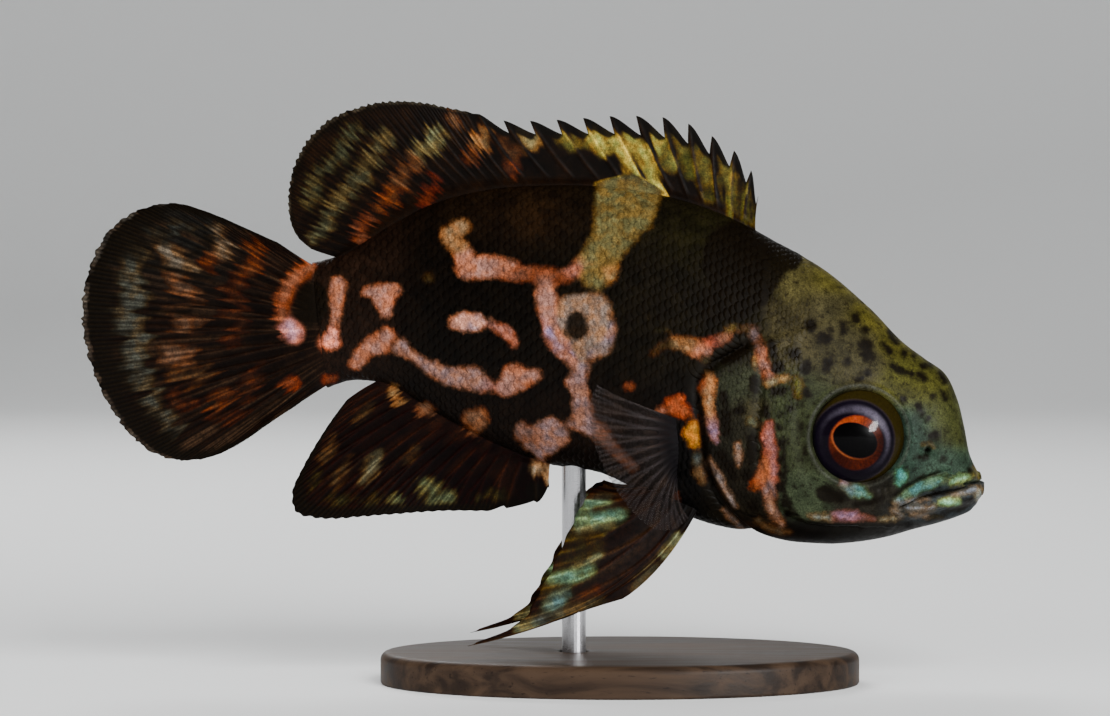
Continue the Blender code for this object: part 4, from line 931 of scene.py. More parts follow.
def eye_piece(name, side):
    polar = np.concatenate([np.linspace(0, EYE_FRONT_TURN, EYE_RINGS),
                            np.linspace(EYE_FRONT_TURN, pi, EYE_BACK_RINGS)[1:]])
    around = np.linspace(0, 2 * pi, EYE_AROUND, endpoint=False)
    polar, around = np.meshgrid(polar, around, indexing="ij")
    reach, height = EYE_RADIUS * np.sin(polar), EYE_HALF_THICKNESS * np.cos(polar)
    a, b = reach * np.cos(around), reach * np.sin(around)
    share = pupil_share(a, b)
    front = height > 0
    height = height + np.where(front, PUPIL_RISE * smoothstep(1.5, 0.5, share), 0.0)
    axis = np.array((sin(EYE_TURN), side * cos(EYE_TURN), 0.0))
    forward = np.array((cos(EYE_TURN), -side * sin(EYE_TURN), 0.0))
    centre = EYE_CENTRE * (1, side, 1)
    upward = np.array((0, 0, 1.0))
    places = centre + a[..., None] * forward + b[..., None] * upward + height[..., None] * axis
    paint = {"eye_paint": np.where(front[..., None], eye_paint(a, b), np.array(DOME_BACK))}
    piece = make_piece(name, places.reshape(-1, 3), grid_faces(*polar.shape), flat_fields(paint))
    if side < 0:
        piece.data.flip_normals()
    return piece


eye_finish, tree, _ = new_material("polished_eye", Roughness=0.30, Specular_IOR_Level=0.02, Coat_Weight=0.35,
                                   Coat_IOR=1.16, Coat_Roughness=0.07)
fleck = ramp(tree, noise(tree, 0.18, 3.0, 0.6), 0.3, 0.7, 0.8, 1.2)
connect(tree, Base_Color=mixed(tree, 1.0, named(tree, "eye_paint", "Color"), fleck, "MULTIPLY"))
for side, word in SIDES:
    eye = eye_piece(f"eye_dome_{word}", side)
    eye.data.materials.append(eye_finish)
    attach(eye, "root")
    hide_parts(f"eye_{word}")

# Dorsal fin.
# One thin sheet from nape to tail: thirteen stiff spines in front, each with a black flag of skin behind
# its tip, then twenty soft rays that fork twice. It is cast with the body and painted in bands.
DORSAL_SPINES, DORSAL_SOFT_RAYS = 13, 20
DORSAL_SPINE_BASE, DORSAL_SOFT_BASE = (13.5, 9.8, 5.6, -1.6, -9.0), (-10.6, -28.4)
DORSAL_SPINE_TIPS = [(13.8, 48.8), (12.9, 51.7), (10.7, 53.8), (6.0, 56.3), (0.6, 56.8), (-6.2, 56.4),
                     (-11.4, 56.3), (-14.2, 57.0)]
DORSAL_SOFT_TIPS = [(-16.4, 57.5), (-20.5, 58.3), (-25.0, 58.1), (-29.5, 56.3), (-32.4, 52.8),
                    (-33.3, 48.6), (-32.7, 45.3), (-31.0, 43.6)]
FIN_COLUMNS = 16
FIN_SINK, FIN_ROOT_HALF, RAY_HALF, SPINE_HALF, RAY_JOINT = 0.06, 0.45, 0.16, 0.21, 0.55
# How far the rays' halves part, in ray spacings, and between which shares of the length.
FORKS = [(0.25, 0.25, 0.80), (0.125, 0.50, 1.00)]
PAINTS.update({
    "grey green": (0.110, 0.096, 0.046),
    "cream green": (0.180, 0.165, 0.078),
    "fin cream": (0.500, 0.370, 0.150),
    "fin tan": (0.150, 0.075, 0.032),
    "fin orange": (0.190, 0.066, 0.017),
    "fin salmon": (0.190, 0.070, 0.030),
    "fin red": (0.140, 0.032, 0.009),
    "straw dim": (0.275, 0.245, 0.063),
    "straw olive": (0.165, 0.150, 0.028),
})
DORSAL_MARKS = [
    ("grey green", [(-23.4, 54.7, 0.9), (-24.4, 53.0, 0.9), (-25.5, 51.5, 1.0), (-27.2, 49.4, 0.9),
                    (-28.8, 47.0, 0.8), (-29.9, 45.2, 0.6), (-30.6, 44.4, 0.3)]),
    ("dim green", [(-26.6, 55.2, 0.8), (-27.4, 53.9, 0.9), (-28.9, 52.3, 0.8), (-29.9, 50.9, 0.7),
                   (-30.9, 48.4, 0.9)]),
    ("cream green", [(-18.4, 54.8, 1.0), (-19.3, 53.8, 1.2), (-20.0, 52.9, 0.8)]),
    ("fin tan", [(-20.4, 52.4, 0.9), (-21.6, 51.2, 0.8), (-22.4, 50.2, 0.7)]),
    ("fin orange", [(-22.6, 49.5, 0.9), (-23.4, 48.5, 1.0), (-24.0, 47.6, 0.6)]),
    ("fin salmon", [(-25.2, 46.4, 0.7), (-25.8, 45.4, 0.8), (-25.8, 44.4, 0.4)]),
    ("fin red", [(-18.5, 50.3, 0.45), (-19.1, 49.1, 0.55), (-19.9, 47.9, 0.35)]),
    ("gold cream", [(-13.5, 55.2, 0.8), (-14.0, 54.0, 0.9)]),
    ("fin orange", [(-14.6, 52.8, 0.8)]),
    ("fin tan", [(-12.0, 54.4, 0.4), (-11.2, 53.2, 0.4)]),
    ("fin salmon", [(-10.9, 52.0, 0.55), (-10.6, 51.5, 0.40)]),
    ("fin cream", [(-9.6, 55.2, 0.7), (-9.0, 54.3, 1.1)]),
    ("fin tan", [(-10.2, 53.4, 0.6), (-10.8, 52.6, 0.6)]),
    ("fin tan", [(-16.8, 56.6, 0.6), (-16.2, 55.8, 0.4)]),
    ("straw dim", [(-5.6, 54.5, 0.7), (-4.6, 54.0, 0.8)]),
    ("straw", [(-3.4, 55.2, 0.6), (-2.4, 54.6, 0.9), (-1.4, 53.4, 0.8)]),
    ("straw", [(-1.2, 54.9, 0.6), (-0.3, 54.2, 0.8), (0.6, 52.6, 0.8), (1.4, 51.0, 0.7), (2.0, 49.8, 0.6)]),
    ("straw", [(1.0, 54.6, 0.6), (2.1, 53.4, 0.9), (2.8, 51.6, 0.9), (3.3, 50.0, 0.8), (3.9, 48.9, 0.6)]),
    ("straw", [(3.4, 54.9, 0.5), (3.9, 53.7, 0.6)]),
    ("straw dim", [(4.3, 53.0, 0.7), (4.9, 52.0, 0.8)]),
    ("straw dim", [(5.6, 55.0, 0.4), (6.2, 53.4, 0.6)]),
    ("straw olive", [(6.5, 52.6, 0.7), (7.0, 51.2, 0.6)]),
    ("straw dim", [(7.6, 53.4, 0.5), (8.2, 51.9, 0.8), (8.7, 50.4, 0.7)]),
    ("straw olive", [(8.6, 50.0, 0.5), (8.9, 48.6, 0.4)]),
    ("straw dim", [(10.4, 52.4, 0.4), (10.8, 50.9, 0.7), (11.0, 48.9, 0.6)]),
    ("straw olive", [(10.9, 48.4, 0.7), (11.1, 47.2, 0.6)]),
    ("straw dim", [(12.6, 50.0, 0.3), (12.8, 48.4, 0.5)]),
    ("straw olive", [(12.7, 48.0, 0.6), (12.8, 46.4, 0.5)]),
]
FIN_GROUND, FIN_BROWN, FIN_FRINGE = (0.0085, 0.0045, 0.0022), (0.026, 0.012, 0.004), (0.095, 0.084, 0.060)


def evenly_along(points, count):
    fine = smooth_line(points, 12)
    run = np.concatenate([[0], np.cumsum(np.linalg.norm(np.diff(fine, axis=0), axis=1))])
    wanted = np.linspace(0, run[-1], count)
    return np.stack([np.interp(wanted, run, fine[:, k]) for k in range(fine.shape[1])], 1)


def body_edge(xs, angle):
    """Places (x, z) on the body's back or belly line at those x."""
    line = body(stations, np.full(stations.shape, angle))
    return np.stack([xs, np.interp(-np.asarray(xs), -line[:, 0], line[:, 2])], 1)


def bowed(root, bow, tip, t):
    """Places at a share t of the way along a bent line from root to tip, drawn towards bow."""
    t = np.asarray(t)[..., None]
    return root * (1 - t) ** 2 + bow * 2 * t * (1 - t) + tip * t * t


def middle_lines(roots, tips, bow, wave):
    """Where the rays of a fin on the fish's middle plane run, for a ray number p and a share t outwards."""
    last = len(roots) - 1

    def line_of(p, t):
        root, tip = through(roots, np.clip(p, 0, last)), through(tips, np.clip(p, 0, last))
        across = np.stack([root[..., 1] - tip[..., 1], tip[..., 0] - root[..., 0]], -1)
        place = bowed(root, (root + tip) / 2 + across * bow, tip, t)
        side = sway(place[..., 0]) + wave * np.asarray(t) ** 2 * np.sin(2 * pi * 1.6 * p / last)
        return np.stack([place[..., 0], side, place[..., 1]], -1)

    return line_of


def ray_grain(p, t, size, seed):
    """Random values that follow a fin's rays."""
    return grain(np.stack([p, t, 0 * p], -1), size, seed)


def spiny_edge(p, spines, front_notch, rear_notch, soft_notch):
    """How far out a fin reaches along its rays: notched behind spines, barely scalloped at soft rays."""
    f = p - np.floor(p)
    deep = front_notch + (rear_notch - front_notch) * np.clip(p / max(spines - 1, 1), 0, 1)
    spiny = 1 - deep * smoothstep(0.0, 0.12, f) * (1 - smoothstep(0.10, 1.0, f) ** 0.8)
    nibble = soft_notch * 0.5 * ray_grain(p, 0 * p, 0.45, 5)
    soft = 1 - soft_notch * (0.5 - 0.5 * np.cos(4 * pi * p)) - np.abs(nibble)
    return np.where(p < spines - 1, spiny, soft)


def fin_piece(name, line_of, rays, rows, edge, spines, root_half, paint, ray_rise=0.12, membrane=0.085,
              root_reach=0.08, columns=FIN_COLUMNS, forks=FORKS):
    """A closed fin sheet: rays stand up as ridges that fork twice, and the skin between them is thin."""
    last = rays - 1
    p, v = np.meshgrid(np.linspace(0, last, last * columns + 1), np.linspace(0, 1, rows + 1), indexing="ij")
    t = v * (edge(p) + FIN_SINK) - FIN_SINK
    outward = np.clip(t, 0, 1)
    centre = line_of(p, t)
    ahead, behind = np.clip(p + 0.25, 0, last), np.clip(p - 0.25, 0, last)
    beside = line_of(ahead, t) - line_of(behind, t)
    spacing = np.linalg.norm(beside, axis=-1) / (ahead - behind)
    normal = np.cross(beside, line_of(p, t + 0.01) - line_of(p, t - 0.01))
    normal /= np.linalg.norm(normal, axis=-1, keepdims=True)
    soft = p > spines - 0.5
    off = np.abs(p - np.round(p))
    for spread, low, high in forks:
        off = np.abs(off - np.where(soft, spread * smoothstep(low, high, t), 0))
    ray = np.exp(-(off * spacing / (np.where(soft, RAY_HALF, SPINE_HALF) * (1 - 0.30 * outward))) ** 2)
    length = np.linalg.norm(line_of(p, 0 * p + 1) - line_of(p, 0 * p), axis=-1)
    joints = np.where(soft & (t > 0.15), 0.5 + 0.5 * np.cos(t * length * 2 * pi / RAY_JOINT), 0.6)
    half = membrane * (1 - 0.45 * outward)
    half = half + ray * ray_rise * (1 - 0.5 * outward) * (0.8 + 0.2 * joints)
    root = root_half(p) if callable(root_half) else root_half
    half += (root - half) * np.exp(-(outward / root_reach) ** 2)
    half *= 1 - 0.65 * smoothstep(0.94, 1.0, v)
    sides = np.stack([centre + normal * half[..., None], centre - normal * half[..., None]])
    across, height = p.shape
    per = across * height
    plate = grid_faces(across, height, closed=False)
    rim = grid_rim(across, height)
    after = np.roll(rim, -1)
    faces = np.concatenate([plate[:, ::-1], plate + per, np.stack([rim, after, after + per, rim + per], 1)])
    fields = paint(centre, p, t)
    streaks = (0.68 + 0.75 * ray) * (0.86 + 0.22 * joints * ray)
    fields["shade"] = 1 + (streaks - 1) * smoothstep(0.02, 0.24, t)
    fields["ray"] = ray
    fields = {key: np.stack([values, values]) for key, values in fields.items()}
    return make_piece(name, sides.reshape(-1, 3), faces, flat_fields(fields))


def streaked(field, p, t, amount=0.40):
    """Marks on a fin break up along its rays."""
    coarse, fine = ray_grain(p * 1.3, t * 2.0, 0.7, 6), ray_grain(p * 5.0, t * 5.0, 0.9, 7)
    return field + amount * (0.7 * coarse + 1.2 * fine)


def ray_shift(p, t, reach, seed):
    """A share t moved along its ray, differently from ray to ray, so that bands end in streaks."""
    return t + reach * ray_grain(p * 3.0, t * 0.8, 0.5, seed)


def ragged(p, depth, seed):
    """Small uneven losses along a fin's edge, in shares of its rays' length."""
    return depth * np.clip(0.5 + 0.7 * ray_grain(p * 8.0, 0 * p, 0.6, seed), 0, 1)


def dorsal_edge(p):
    losses = ragged(p, 0.014, 17) * (p > DORSAL_SPINES)
    return spiny_edge(p, DORSAL_SPINES, 0.28, 0.18, 0.012) - losses


def dorsal_paint(places, p, t):
    reach = np.where(p < DORSAL_SPINES - 0.5, 0.02, 0.06)
    x, z = flat_view(dorsal_line(p, ray_shift(p, t, reach, 13)), mirrored=False)
    mark, mark_colour = drawn(x, z, DORSAL_MARKS)
    back_mark, back_colour = drawn(x, z, [SADDLE_MARK])
    back_mark = back_mark - 2.5 * smoothstep(0.04, 0.24, t)
    mark_colour = blend(mark_colour, back_colour, smoothstep(-0.3, 0.3, back_mark))
    spiny, past_spine = p < DORSAL_SPINES - 0.5, p - np.floor(p)
    length = np.linalg.norm(dorsal_line(p, 0 * p + 1) - dorsal_line(p, 0 * p), axis=-1)
    depth = (dorsal_edge(p) - t) * length
    flag = 0.20 + (1.15 - 0.35 * smoothstep(7.0, 12.0, x)) * smoothstep(0.08, 0.50, past_spine) - depth
    flag = np.where(spiny, flag * 1.3, -2.0)
    margin = np.where(spiny, -2.0, (t - 0.93) * 12.0)
    tip = np.where(spiny, 0.0, smoothstep(0.945, 0.975, t)) * (0.5 + 0.5 * ray_grain(p, t, 0.4, 16))
    ground = blend(FIN_GROUND, FIN_BROWN, 0.5 + 0.5 * grain(places, 1.4, 8))
    ground = blend(ground, FIN_FRINGE, tip)
    spot = np.maximum(flag, np.where(tip > 0.2, -2.0, margin))
    between = np.where(spiny & (t > 0.2), 0.5 - 0.5 * np.cos(2 * pi * (p - 0.42)), 0.0) ** 7
    mark = np.maximum(streaked(mark, p, t) - 0.5 * between, back_mark)
    return painting(ground, mark_colour, mark, spot)


fin_finish = painted_finish("painted_fin", wobble=0.14, tone="shade", roughness=0.52, soft=0.25)


def finish_fin(piece, finish, replaced):
    piece.data.materials.append(finish)
    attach(piece, "root")
    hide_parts(replaced)


dorsal_spine_x = np.interp(np.linspace(0, 4, DORSAL_SPINES), range(5), DORSAL_SPINE_BASE)
dorsal_x = np.concatenate([dorsal_spine_x, np.linspace(*DORSAL_SOFT_BASE, DORSAL_SOFT_RAYS)])
dorsal_tips = np.concatenate([evenly_along(DORSAL_SPINE_TIPS, DORSAL_SPINES),
                              evenly_along(DORSAL_SOFT_TIPS, DORSAL_SOFT_RAYS)])
dorsal_line = middle_lines(body_edge(dorsal_x, pi / 2), dorsal_tips, bow=0.05, wave=0.5)
dorsal = fin_piece("dorsal_sheet", dorsal_line, len(dorsal_x), 56, dorsal_edge, DORSAL_SPINES, FIN_ROOT_HALF,
                   dorsal_paint)
finish_fin(dorsal, fin_finish, "dorsal_fin")

# Anal fin.
# The same build under the tail: three short spines, then sixteen soft rays. It is maroon brown with pale
# patches along a dark edge.
ANAL_SPINES, ANAL_SOFT_RAYS = 3, 16
ANAL_SPINE_BASE, ANAL_SOFT_BASE = (-7.0, -9.6), (-10.6, -24.4)
ANAL_SPINE_TIPS = [(-7.1, 19.6), (-8.3, 18.1), (-11.4, 17.5)]
ANAL_SOFT_TIPS = [(-13.4, 17.2), (-18.0, 17.2), (-24.0, 16.8), (-29.5, 16.4), (-32.5, 17.0), (-33.0, 18.8),
                  (-31.6, 22.0), (-29.4, 25.6), (-27.4, 28.3)]
PAINTS.update({
    "anal cream": (0.175, 0.147, 0.078),
    "anal green": (0.126, 0.131, 0.060),
    "anal dim": (0.055, 0.042, 0.012),
    "anal tan": (0.100, 0.060, 0.024),
    "white cream": (0.540, 0.400, 0.250),
})
ANAL_MARKS = [
    ("gold cream", [(-22.7, 29.5, 0.5), (-22.2, 28.4, 0.5)]),
    ("tan", [(-19.3, 27.5, 0.9)]),
    ("tan", [(-15.0, 26.5, 0.9), (-14.1, 26.6, 1.1), (-14.4, 25.8, 0.8)]),
    ("tan pink", [(-7.7, 23.6, 1.1), (-7.9, 22.7, 0.6)]),
    ("white cream", [(-8.2, 21.8, 0.55), (-7.6, 21.0, 0.65), (-7.1, 20.2, 0.3)]),
    ("anal dim", [(-14.0, 18.6, 0.4), (-13.0, 18.9, 0.6), (-12.0, 18.7, 0.5)]),
    ("anal green", [(-19.5, 19.9, 0.8), (-18.5, 19.4, 0.9), (-19.0, 18.4, 0.8), (-17.2, 18.7, 0.6)]),
    ("anal green", [(-22.7, 18.4, 0.5), (-22.2, 18.1, 0.4)]),
    ("anal dim", [(-24.5, 18.4, 0.5), (-25.0, 18.1, 0.4)]),
    ("anal dim", [(-26.3, 18.4, 0.4)]),
    ("anal dim", [(-27.5, 18.4, 0.5), (-28.5, 18.2, 0.5)]),
    ("anal cream", [(-24.5, 22.4, 0.7), (-25.0, 21.4, 0.8), (-25.6, 20.4, 0.4)]),
    ("anal tan", [(-27.2, 22.4, 0.4), (-28.0, 21.2, 0.6), (-28.6, 20.2, 0.4)]),
    ("anal tan", [(-28.6, 24.4, 0.4), (-29.2, 23.2, 0.6), (-29.8, 22.4, 0.4)]),
    ("anal dim", [(-30.2, 21.0, 0.4), (-30.8, 19.8, 0.5)]),
    ("anal tan", [(-20.4, 23.4, 0.4), (-21.2, 22.4, 0.5)]),
    ("anal tan", [(-25.0, 27.6, 0.25), (-26.2, 26.4, 0.35)]),
]
ANAL_BROWN, ANAL_MAROON = (0.017, 0.0045, 0.0020), (0.014, 0.0022, 0.0010)
ANAL_STREAK = (0.036, 0.0120, 0.0045)


def anal_edge(p):
    return spiny_edge(p, ANAL_SPINES + 1, 0.07, 0.05, 0.010)


def anal_paint(places, p, t):
    x, z = flat_view(anal_line(p, ray_shift(p, t, 0.05, 14)), mirrored=False)
    mark, mark_colour = drawn(x, z, ANAL_MARKS)
    front = p < ANAL_SPINES + 0.5
    margin = np.where(front, (t - 0.86) * 8.0, (t - 0.90) * 9.0)
    lobe = inside(x, z, [(-8.6, 19.4, 0.9), (-8.2, 18.6, 0.8)])
    warm = smoothstep(-27.0, -12.0, x)
    ground = blend(ANAL_BROWN, ANAL_MAROON, warm)
    ground = blend(ground, ANAL_STREAK, smoothstep(-0.2, 0.8, ray_grain(p, t * 2, 0.7, 9)))
    return painting(ground, mark_colour, streaked(mark, p, t), np.maximum(margin, lobe))


anal_x = np.concatenate([np.linspace(*ANAL_SPINE_BASE, ANAL_SPINES),
                         np.linspace(*ANAL_SOFT_BASE, ANAL_SOFT_RAYS)])
anal_tips = np.concatenate([np.array(ANAL_SPINE_TIPS), evenly_along(ANAL_SOFT_TIPS, ANAL_SOFT_RAYS)])
anal_line = middle_lines(body_edge(anal_x, -pi / 2), anal_tips, bow=-0.05, wave=0.5)
anal = fin_piece("anal_sheet", anal_line, len(anal_x), 50, anal_edge, ANAL_SPINES, FIN_ROOT_HALF, anal_paint)
finish_fin(anal, fin_finish, "anal_fin")

# Tail fin.
# Sixteen forking rays fan out from the end of the body. It is thickest at its root, waves gently, and
# carries grey-cream bands across brown.
TAIL_RAYS = 16
TAIL_FORKS = [(0.25, 0.04, 0.45), (0.125, 0.20, 0.72), (0.0625, 0.46, 0.98)]
TAIL_TIPS = [(-34.5, 44.2), (-39.0, 46.2), (-44.5, 48.1), (-49.0, 47.2), (-52.3, 44.2), (-54.1, 38.8),
             (-53.9, 33.8), (-52.2, 28.8), (-49.2, 24.4), (-45.0, 22.1), (-40.0, 22.9), (-35.6, 26.0)]
PAINTS.update({
    "tail grey": (0.088, 0.080, 0.054),
    "tail pale": (0.175, 0.132, 0.084),
    "tail smoke": (0.050, 0.048, 0.036),
    "tail pink": (0.150, 0.082, 0.044),
    "tail orange": (0.125, 0.046, 0.015),
    "tail rust": (0.074, 0.028, 0.011),
    "tail tan": (0.110, 0.058, 0.024),
})
TAIL_MARKS = TAIL_ROOT_MARKS + [
    ("tail grey", [(-48.6, 43.6, 0.8), (-48.3, 42.4, 1.0), (-48.2, 39.9, 1.4), (-49.2, 36.6, 1.3),
                   (-48.7, 34.6, 1.4), (-48.4, 31.6, 1.3), (-47.3, 29.2, 1.0), (-46.2, 27.3, 0.8),
                   (-44.6, 25.3, 0.7)]),
    ("tail smoke", [(-47.0, 45.4, 0.5), (-45.5, 44.7, 0.6), (-44.2, 46.2, 0.5), (-42.6, 45.6, 0.4)]),
    ("tail pale", [(-45.0, 43.2, 0.7), (-44.2, 42.3, 1.0), (-43.3, 41.6, 0.7)]),
    ("tail pink", [(-44.0, 40.2, 1.0), (-43.3, 39.2, 1.1), (-42.6, 38.8, 0.9)]),
    ("tail pink", [(-44.6, 36.4, 0.8), (-43.6, 36.0, 1.0), (-42.6, 36.0, 0.6)]),
    ("tail pink", [(-44.9, 33.1, 0.9), (-43.6, 32.7, 1.1), (-42.6, 33.0, 0.7)]),
    ("tail tan", [(-44.6, 31.0, 0.6), (-43.1, 30.4, 0.9), (-41.2, 31.4, 0.5)]),
    ("tail rust", [(-45.0, 29.2, 0.5), (-43.6, 27.8, 0.6), (-42.4, 28.2, 0.4)]),
    ("tail pale", [(-40.2, 44.8, 0.8), (-40.0, 44.0, 1.0), (-40.2, 43.4, 0.8)]),
    ("tail orange", [(-40.7, 42.8, 0.6), (-41.0, 42.2, 0.6)]),
    ("tail orange", [(-36.3, 43.6, 0.8), (-36.6, 42.4, 1.0), (-37.3, 41.2, 0.6)]),
    ("tail rust", [(-38.2, 39.8, 0.8), (-38.3, 37.9, 1.1), (-38.3, 36.2, 1.0), (-38.6, 34.4, 0.8)]),
    ("tail rust", [(-36.4, 31.0, 0.8), (-36.9, 29.6, 1.0)]),
    ("tail orange", [(-39.4, 28.9, 0.8), (-40.2, 28.0, 1.0)]),
    ("tail rust", [(-38.0, 27.0, 0.5), (-39.6, 25.8, 0.5)]),
]
TAIL_SPOTS = [
    TAIL_ROOT_SPOT,
    [(-46.5, 41.6, 0.25), (-43.5, 41.2, 0.35), (-41.0, 40.6, 0.25)],
    [(-45.5, 37.1, 0.3), (-42.5, 37.2, 0.35)],
    [(-41.5, 44.4, 0.5)],
    [(-40.5, 44.9, 0.3), (-42.6, 42.9, 0.3)],
]
TAIL_BROWN, TAIL_COOL = (0.018, 0.0085, 0.0042), (0.018, 0.016, 0.013)
TAIL_STREAK, TAIL_FRINGE = (0.058, 0.034, 0.019), (0.150, 0.128, 0.102)


def tail_edge(p):
    return spiny_edge(p, 0, 0.0, 0.0, 0.006) - ragged(p, 0.012, 18)


def tail_paint(places, p, t):
    x, z = flat_view(tail_line(p, ray_shift(p, t, 0.065 * smoothstep(0.12, 0.35, t), 15)), mirrored=False)
    mark, mark_colour = drawn(x, z, TAIL_MARKS)
    mark = np.where(t < 0.16, mark, streaked(mark, p, t, 0.40))
    spot = deepest(x, z, TAIL_SPOTS)
    spot = np.maximum(spot, streaked((t - 0.86) * 7.0, p, t, 0.5))
    cool = smoothstep(36.0, 44.0, z) * smoothstep(-36.0, -42.0, x)
    ground = blend(TAIL_BROWN, TAIL_COOL, cool)
    ground = blend(ground, TAIL_STREAK, smoothstep(-0.1, 0.8, ray_grain(p * 3.0, t * 1.5, 0.5, 10)))
    rim = smoothstep(0.960, 0.985, t) * (0.5 + 0.5 * ray_grain(p, 0 * p, 0.3, 16))
    rim = rim * smoothstep(-42.0, -50.0, x)
    ground = blend(ground, TAIL_FRINGE, rim)
    spot = np.where(rim > 0.15, -2.0, spot)
    return painting(ground, mark_colour, mark, np.clip(spot, -3, 3) * 0.6)


stalk_back, stalk_belly = BODY_STATIONS[-1, 0:2], BODY_STATIONS[-1, 2:4]
down = (stalk_belly - stalk_back) / np.linalg.norm(stalk_belly - stalk_back)
tail_roots = np.linspace(stalk_back + down * 0.25, stalk_belly - down * 0.25, TAIL_RAYS)


def stalk_half(p):
    """Half the thickness of the fleshy root, which continues the tail stalk's oval."""
    middle = (TAIL_RAYS - 1) / 2
    return 0.30 + 1.44 * np.sqrt(np.clip(1 - ((p - middle) / (middle + 0.4)) ** 2, 0, 1))


tail_line = middle_lines(tail_roots, evenly_along(TAIL_TIPS, TAIL_RAYS), bow=0.0, wave=0.9)
tail = fin_piece("tail_sheet", tail_line, TAIL_RAYS, 78, tail_edge, 0, stalk_half, tail_paint, ray_rise=0.13,
                 membrane=0.10, root_reach=0.13, columns=32, forks=TAIL_FORKS)
finish_fin(tail, fin_finish, "tail_fin")

# Pelvic fins.
# A paired fan under the chest with a pale front spine, drawn out to a thread-like tip, and mint patches on
# brown. The left one mirrors the right one.
PELVIC_RAYS = [
    (10.10, -66, (0.2, -4.8, 8.9), (4.6, -4.5, 11.6)),
    (10.20, -66, (-15.0, -6.4, 4.4), (3.2, -5.4, 8.2)),
    (10.36, -66, (-10.4, -6.0, 6.5), (2.8, -5.0, 9.8)),
    (10.52, -66, (-7.8, -5.4, 10.4), (1.6, -4.6, 12.6)),
    (10.68, -66, (-5.4, -4.6, 15.2), (0.8, -3.8, 15.8)),
    (10.82, -66, (-3.4, -3.6, 19.0), (0.4, -3.2, 18.4)),
    (10.94, -67, (-1.6, -2.8, 20.2), (0.6, -2.8, 19.2)),
]
PAINTS.update({
    "pelvic mint": (0.305, 0.490, 0.310),
    "pelvic pale": (0.420, 0.450, 0.260),
    "pelvic blue": (0.200, 0.300, 0.250),
    "pelvic grey": (0.150, 0.150, 0.110),
    "pelvic edge": (0.200, 0.165, 0.085),
    "pelvic gold": (0.130, 0.100, 0.022),
    "pelvic rust": (0.140, 0.055, 0.014),
})
PELVIC_MARKS = [
    ("pelvic pale", [(5.8, 14.6, 0.30), (4.4, 12.8, 0.35)]),
    ("pelvic edge", [(3.4, 11.7, 0.35), (2.3, 10.5, 0.45), (1.4, 9.6, 0.35)]),
    ("pelvic edge", [(-1.8, 8.2, 0.30), (-3.2, 7.7, 0.50), (-4.6, 7.2, 0.55), (-6.2, 6.9, 0.45)]),
    ("pelvic grey", [(-7.6, 6.5, 0.45), (-8.4, 6.2, 0.40)]),
    ("pelvic pale", [(-8.8, 5.9, 0.40), (-10.2, 5.5, 0.32)]),
    ("pelvic rust", [(-3.9, 18.6, 0.18), (0.2, 18.4, 0.15)]),
    ("pelvic mint", [(-3.4, 18.0, 0.35), (-1.1, 18.1, 0.30)]),
    ("pelvic rust", [(-2.6, 17.3, 0.20), (0.4, 17.9, 0.22)]),
    ("pelvic mint", [(-3.7, 16.3, 0.80), (-1.6, 16.6, 0.85), (-0.2, 16.9, 0.65)]),
    ("pelvic pale", [(-4.0, 15.5, 0.30), (-2.2, 15.8, 0.30), (-0.8, 16.0, 0.22)]),
    ("pelvic gold", [(-5.7, 14.5, 0.35), (-3.6, 14.6, 0.30), (-1.7, 14.9, 0.22)]),
    ("pelvic gold", [(-6.2, 13.0, 0.30), (-3.6, 13.6, 0.25), (-1.7, 14.1, 0.20)]),
    ("pelvic gold", [(-5.7, 11.9, 0.45), (-3.8, 12.7, 0.50), (-2.3, 13.4, 0.45)]),
    ("pelvic pale", [(-4.7, 11.6, 0.22), (-3.2, 12.2, 0.28), (-2.1, 12.9, 0.28)]),
    ("pelvic mint", [(-6.8, 10.5, 0.60), (-4.8, 10.9, 0.75), (-3.0, 11.4, 0.50)]),
    ("pelvic gold", [(-7.6, 9.5, 0.35), (-5.6, 9.8, 0.25)]),
    ("pelvic blue", [(-7.2, 7.7, 0.60), (-6.2, 8.4, 0.80), (-5.6, 9.0, 0.50)]),
    ("pelvic rust", [(-3.6, 8.7, 0.40), (-2.4, 9.2, 0.40)]),
]
PELVIC_BROWN, PELVIC_STREAK = (0.036, 0.013, 0.0050), (0.082, 0.040, 0.015)
PELVIC_ROOT = (0.0070, 0.0045, 0.0035)


def soft_edge(p):
    return spiny_edge(p, 0, 0.0, 0.0, 0.015)


def paired_lines(rays, side, sunk):
    """Where a paired fin's rays run, from inside the skin: rays are (station, degrees, tip, bow)."""
    mirror = np.array((1.0, -side, 1.0))
    root_stations, degrees = np.array([ray[0] for ray in rays]), np.radians([ray[1] for ray in rays])
    roots = (body(root_stations, degrees) - body_out(root_stations, degrees) * sunk) * (1, side, 1)
    tips = np.array([ray[2] for ray in rays]) * mirror
    bows = np.array([ray[3] for ray in rays]) * mirror
    last = len(rays) - 1

    def line_of(p, t):
        p = np.clip(p, 0, last)
        return bowed(through(roots, p), through(bows, p), through(tips, p), t)

    return line_of


def pelvic_paint(places, p, t):
    x, z = flat_view(places)
    mark, mark_colour = drawn(x, z, PELVIC_MARKS)
    streaks = smoothstep(-0.1, 0.8, ray_grain(p * 3.0, t * 2.0, 0.7, 11))
    ground = blend(blend(PELVIC_BROWN, PELVIC_STREAK, streaks), PELVIC_ROOT, smoothstep(0.30, 0.08, t))
    return painting(ground, mark_colour, streaked(mark, p, t, 0.25), np.full(x.shape, -2.0))


def pelvic_root_half(p):
    """Half the thickness at the root, thinner at the front spine."""
    return FIN_ROOT_HALF - 0.25 * np.exp(-(p / 0.6) ** 2)


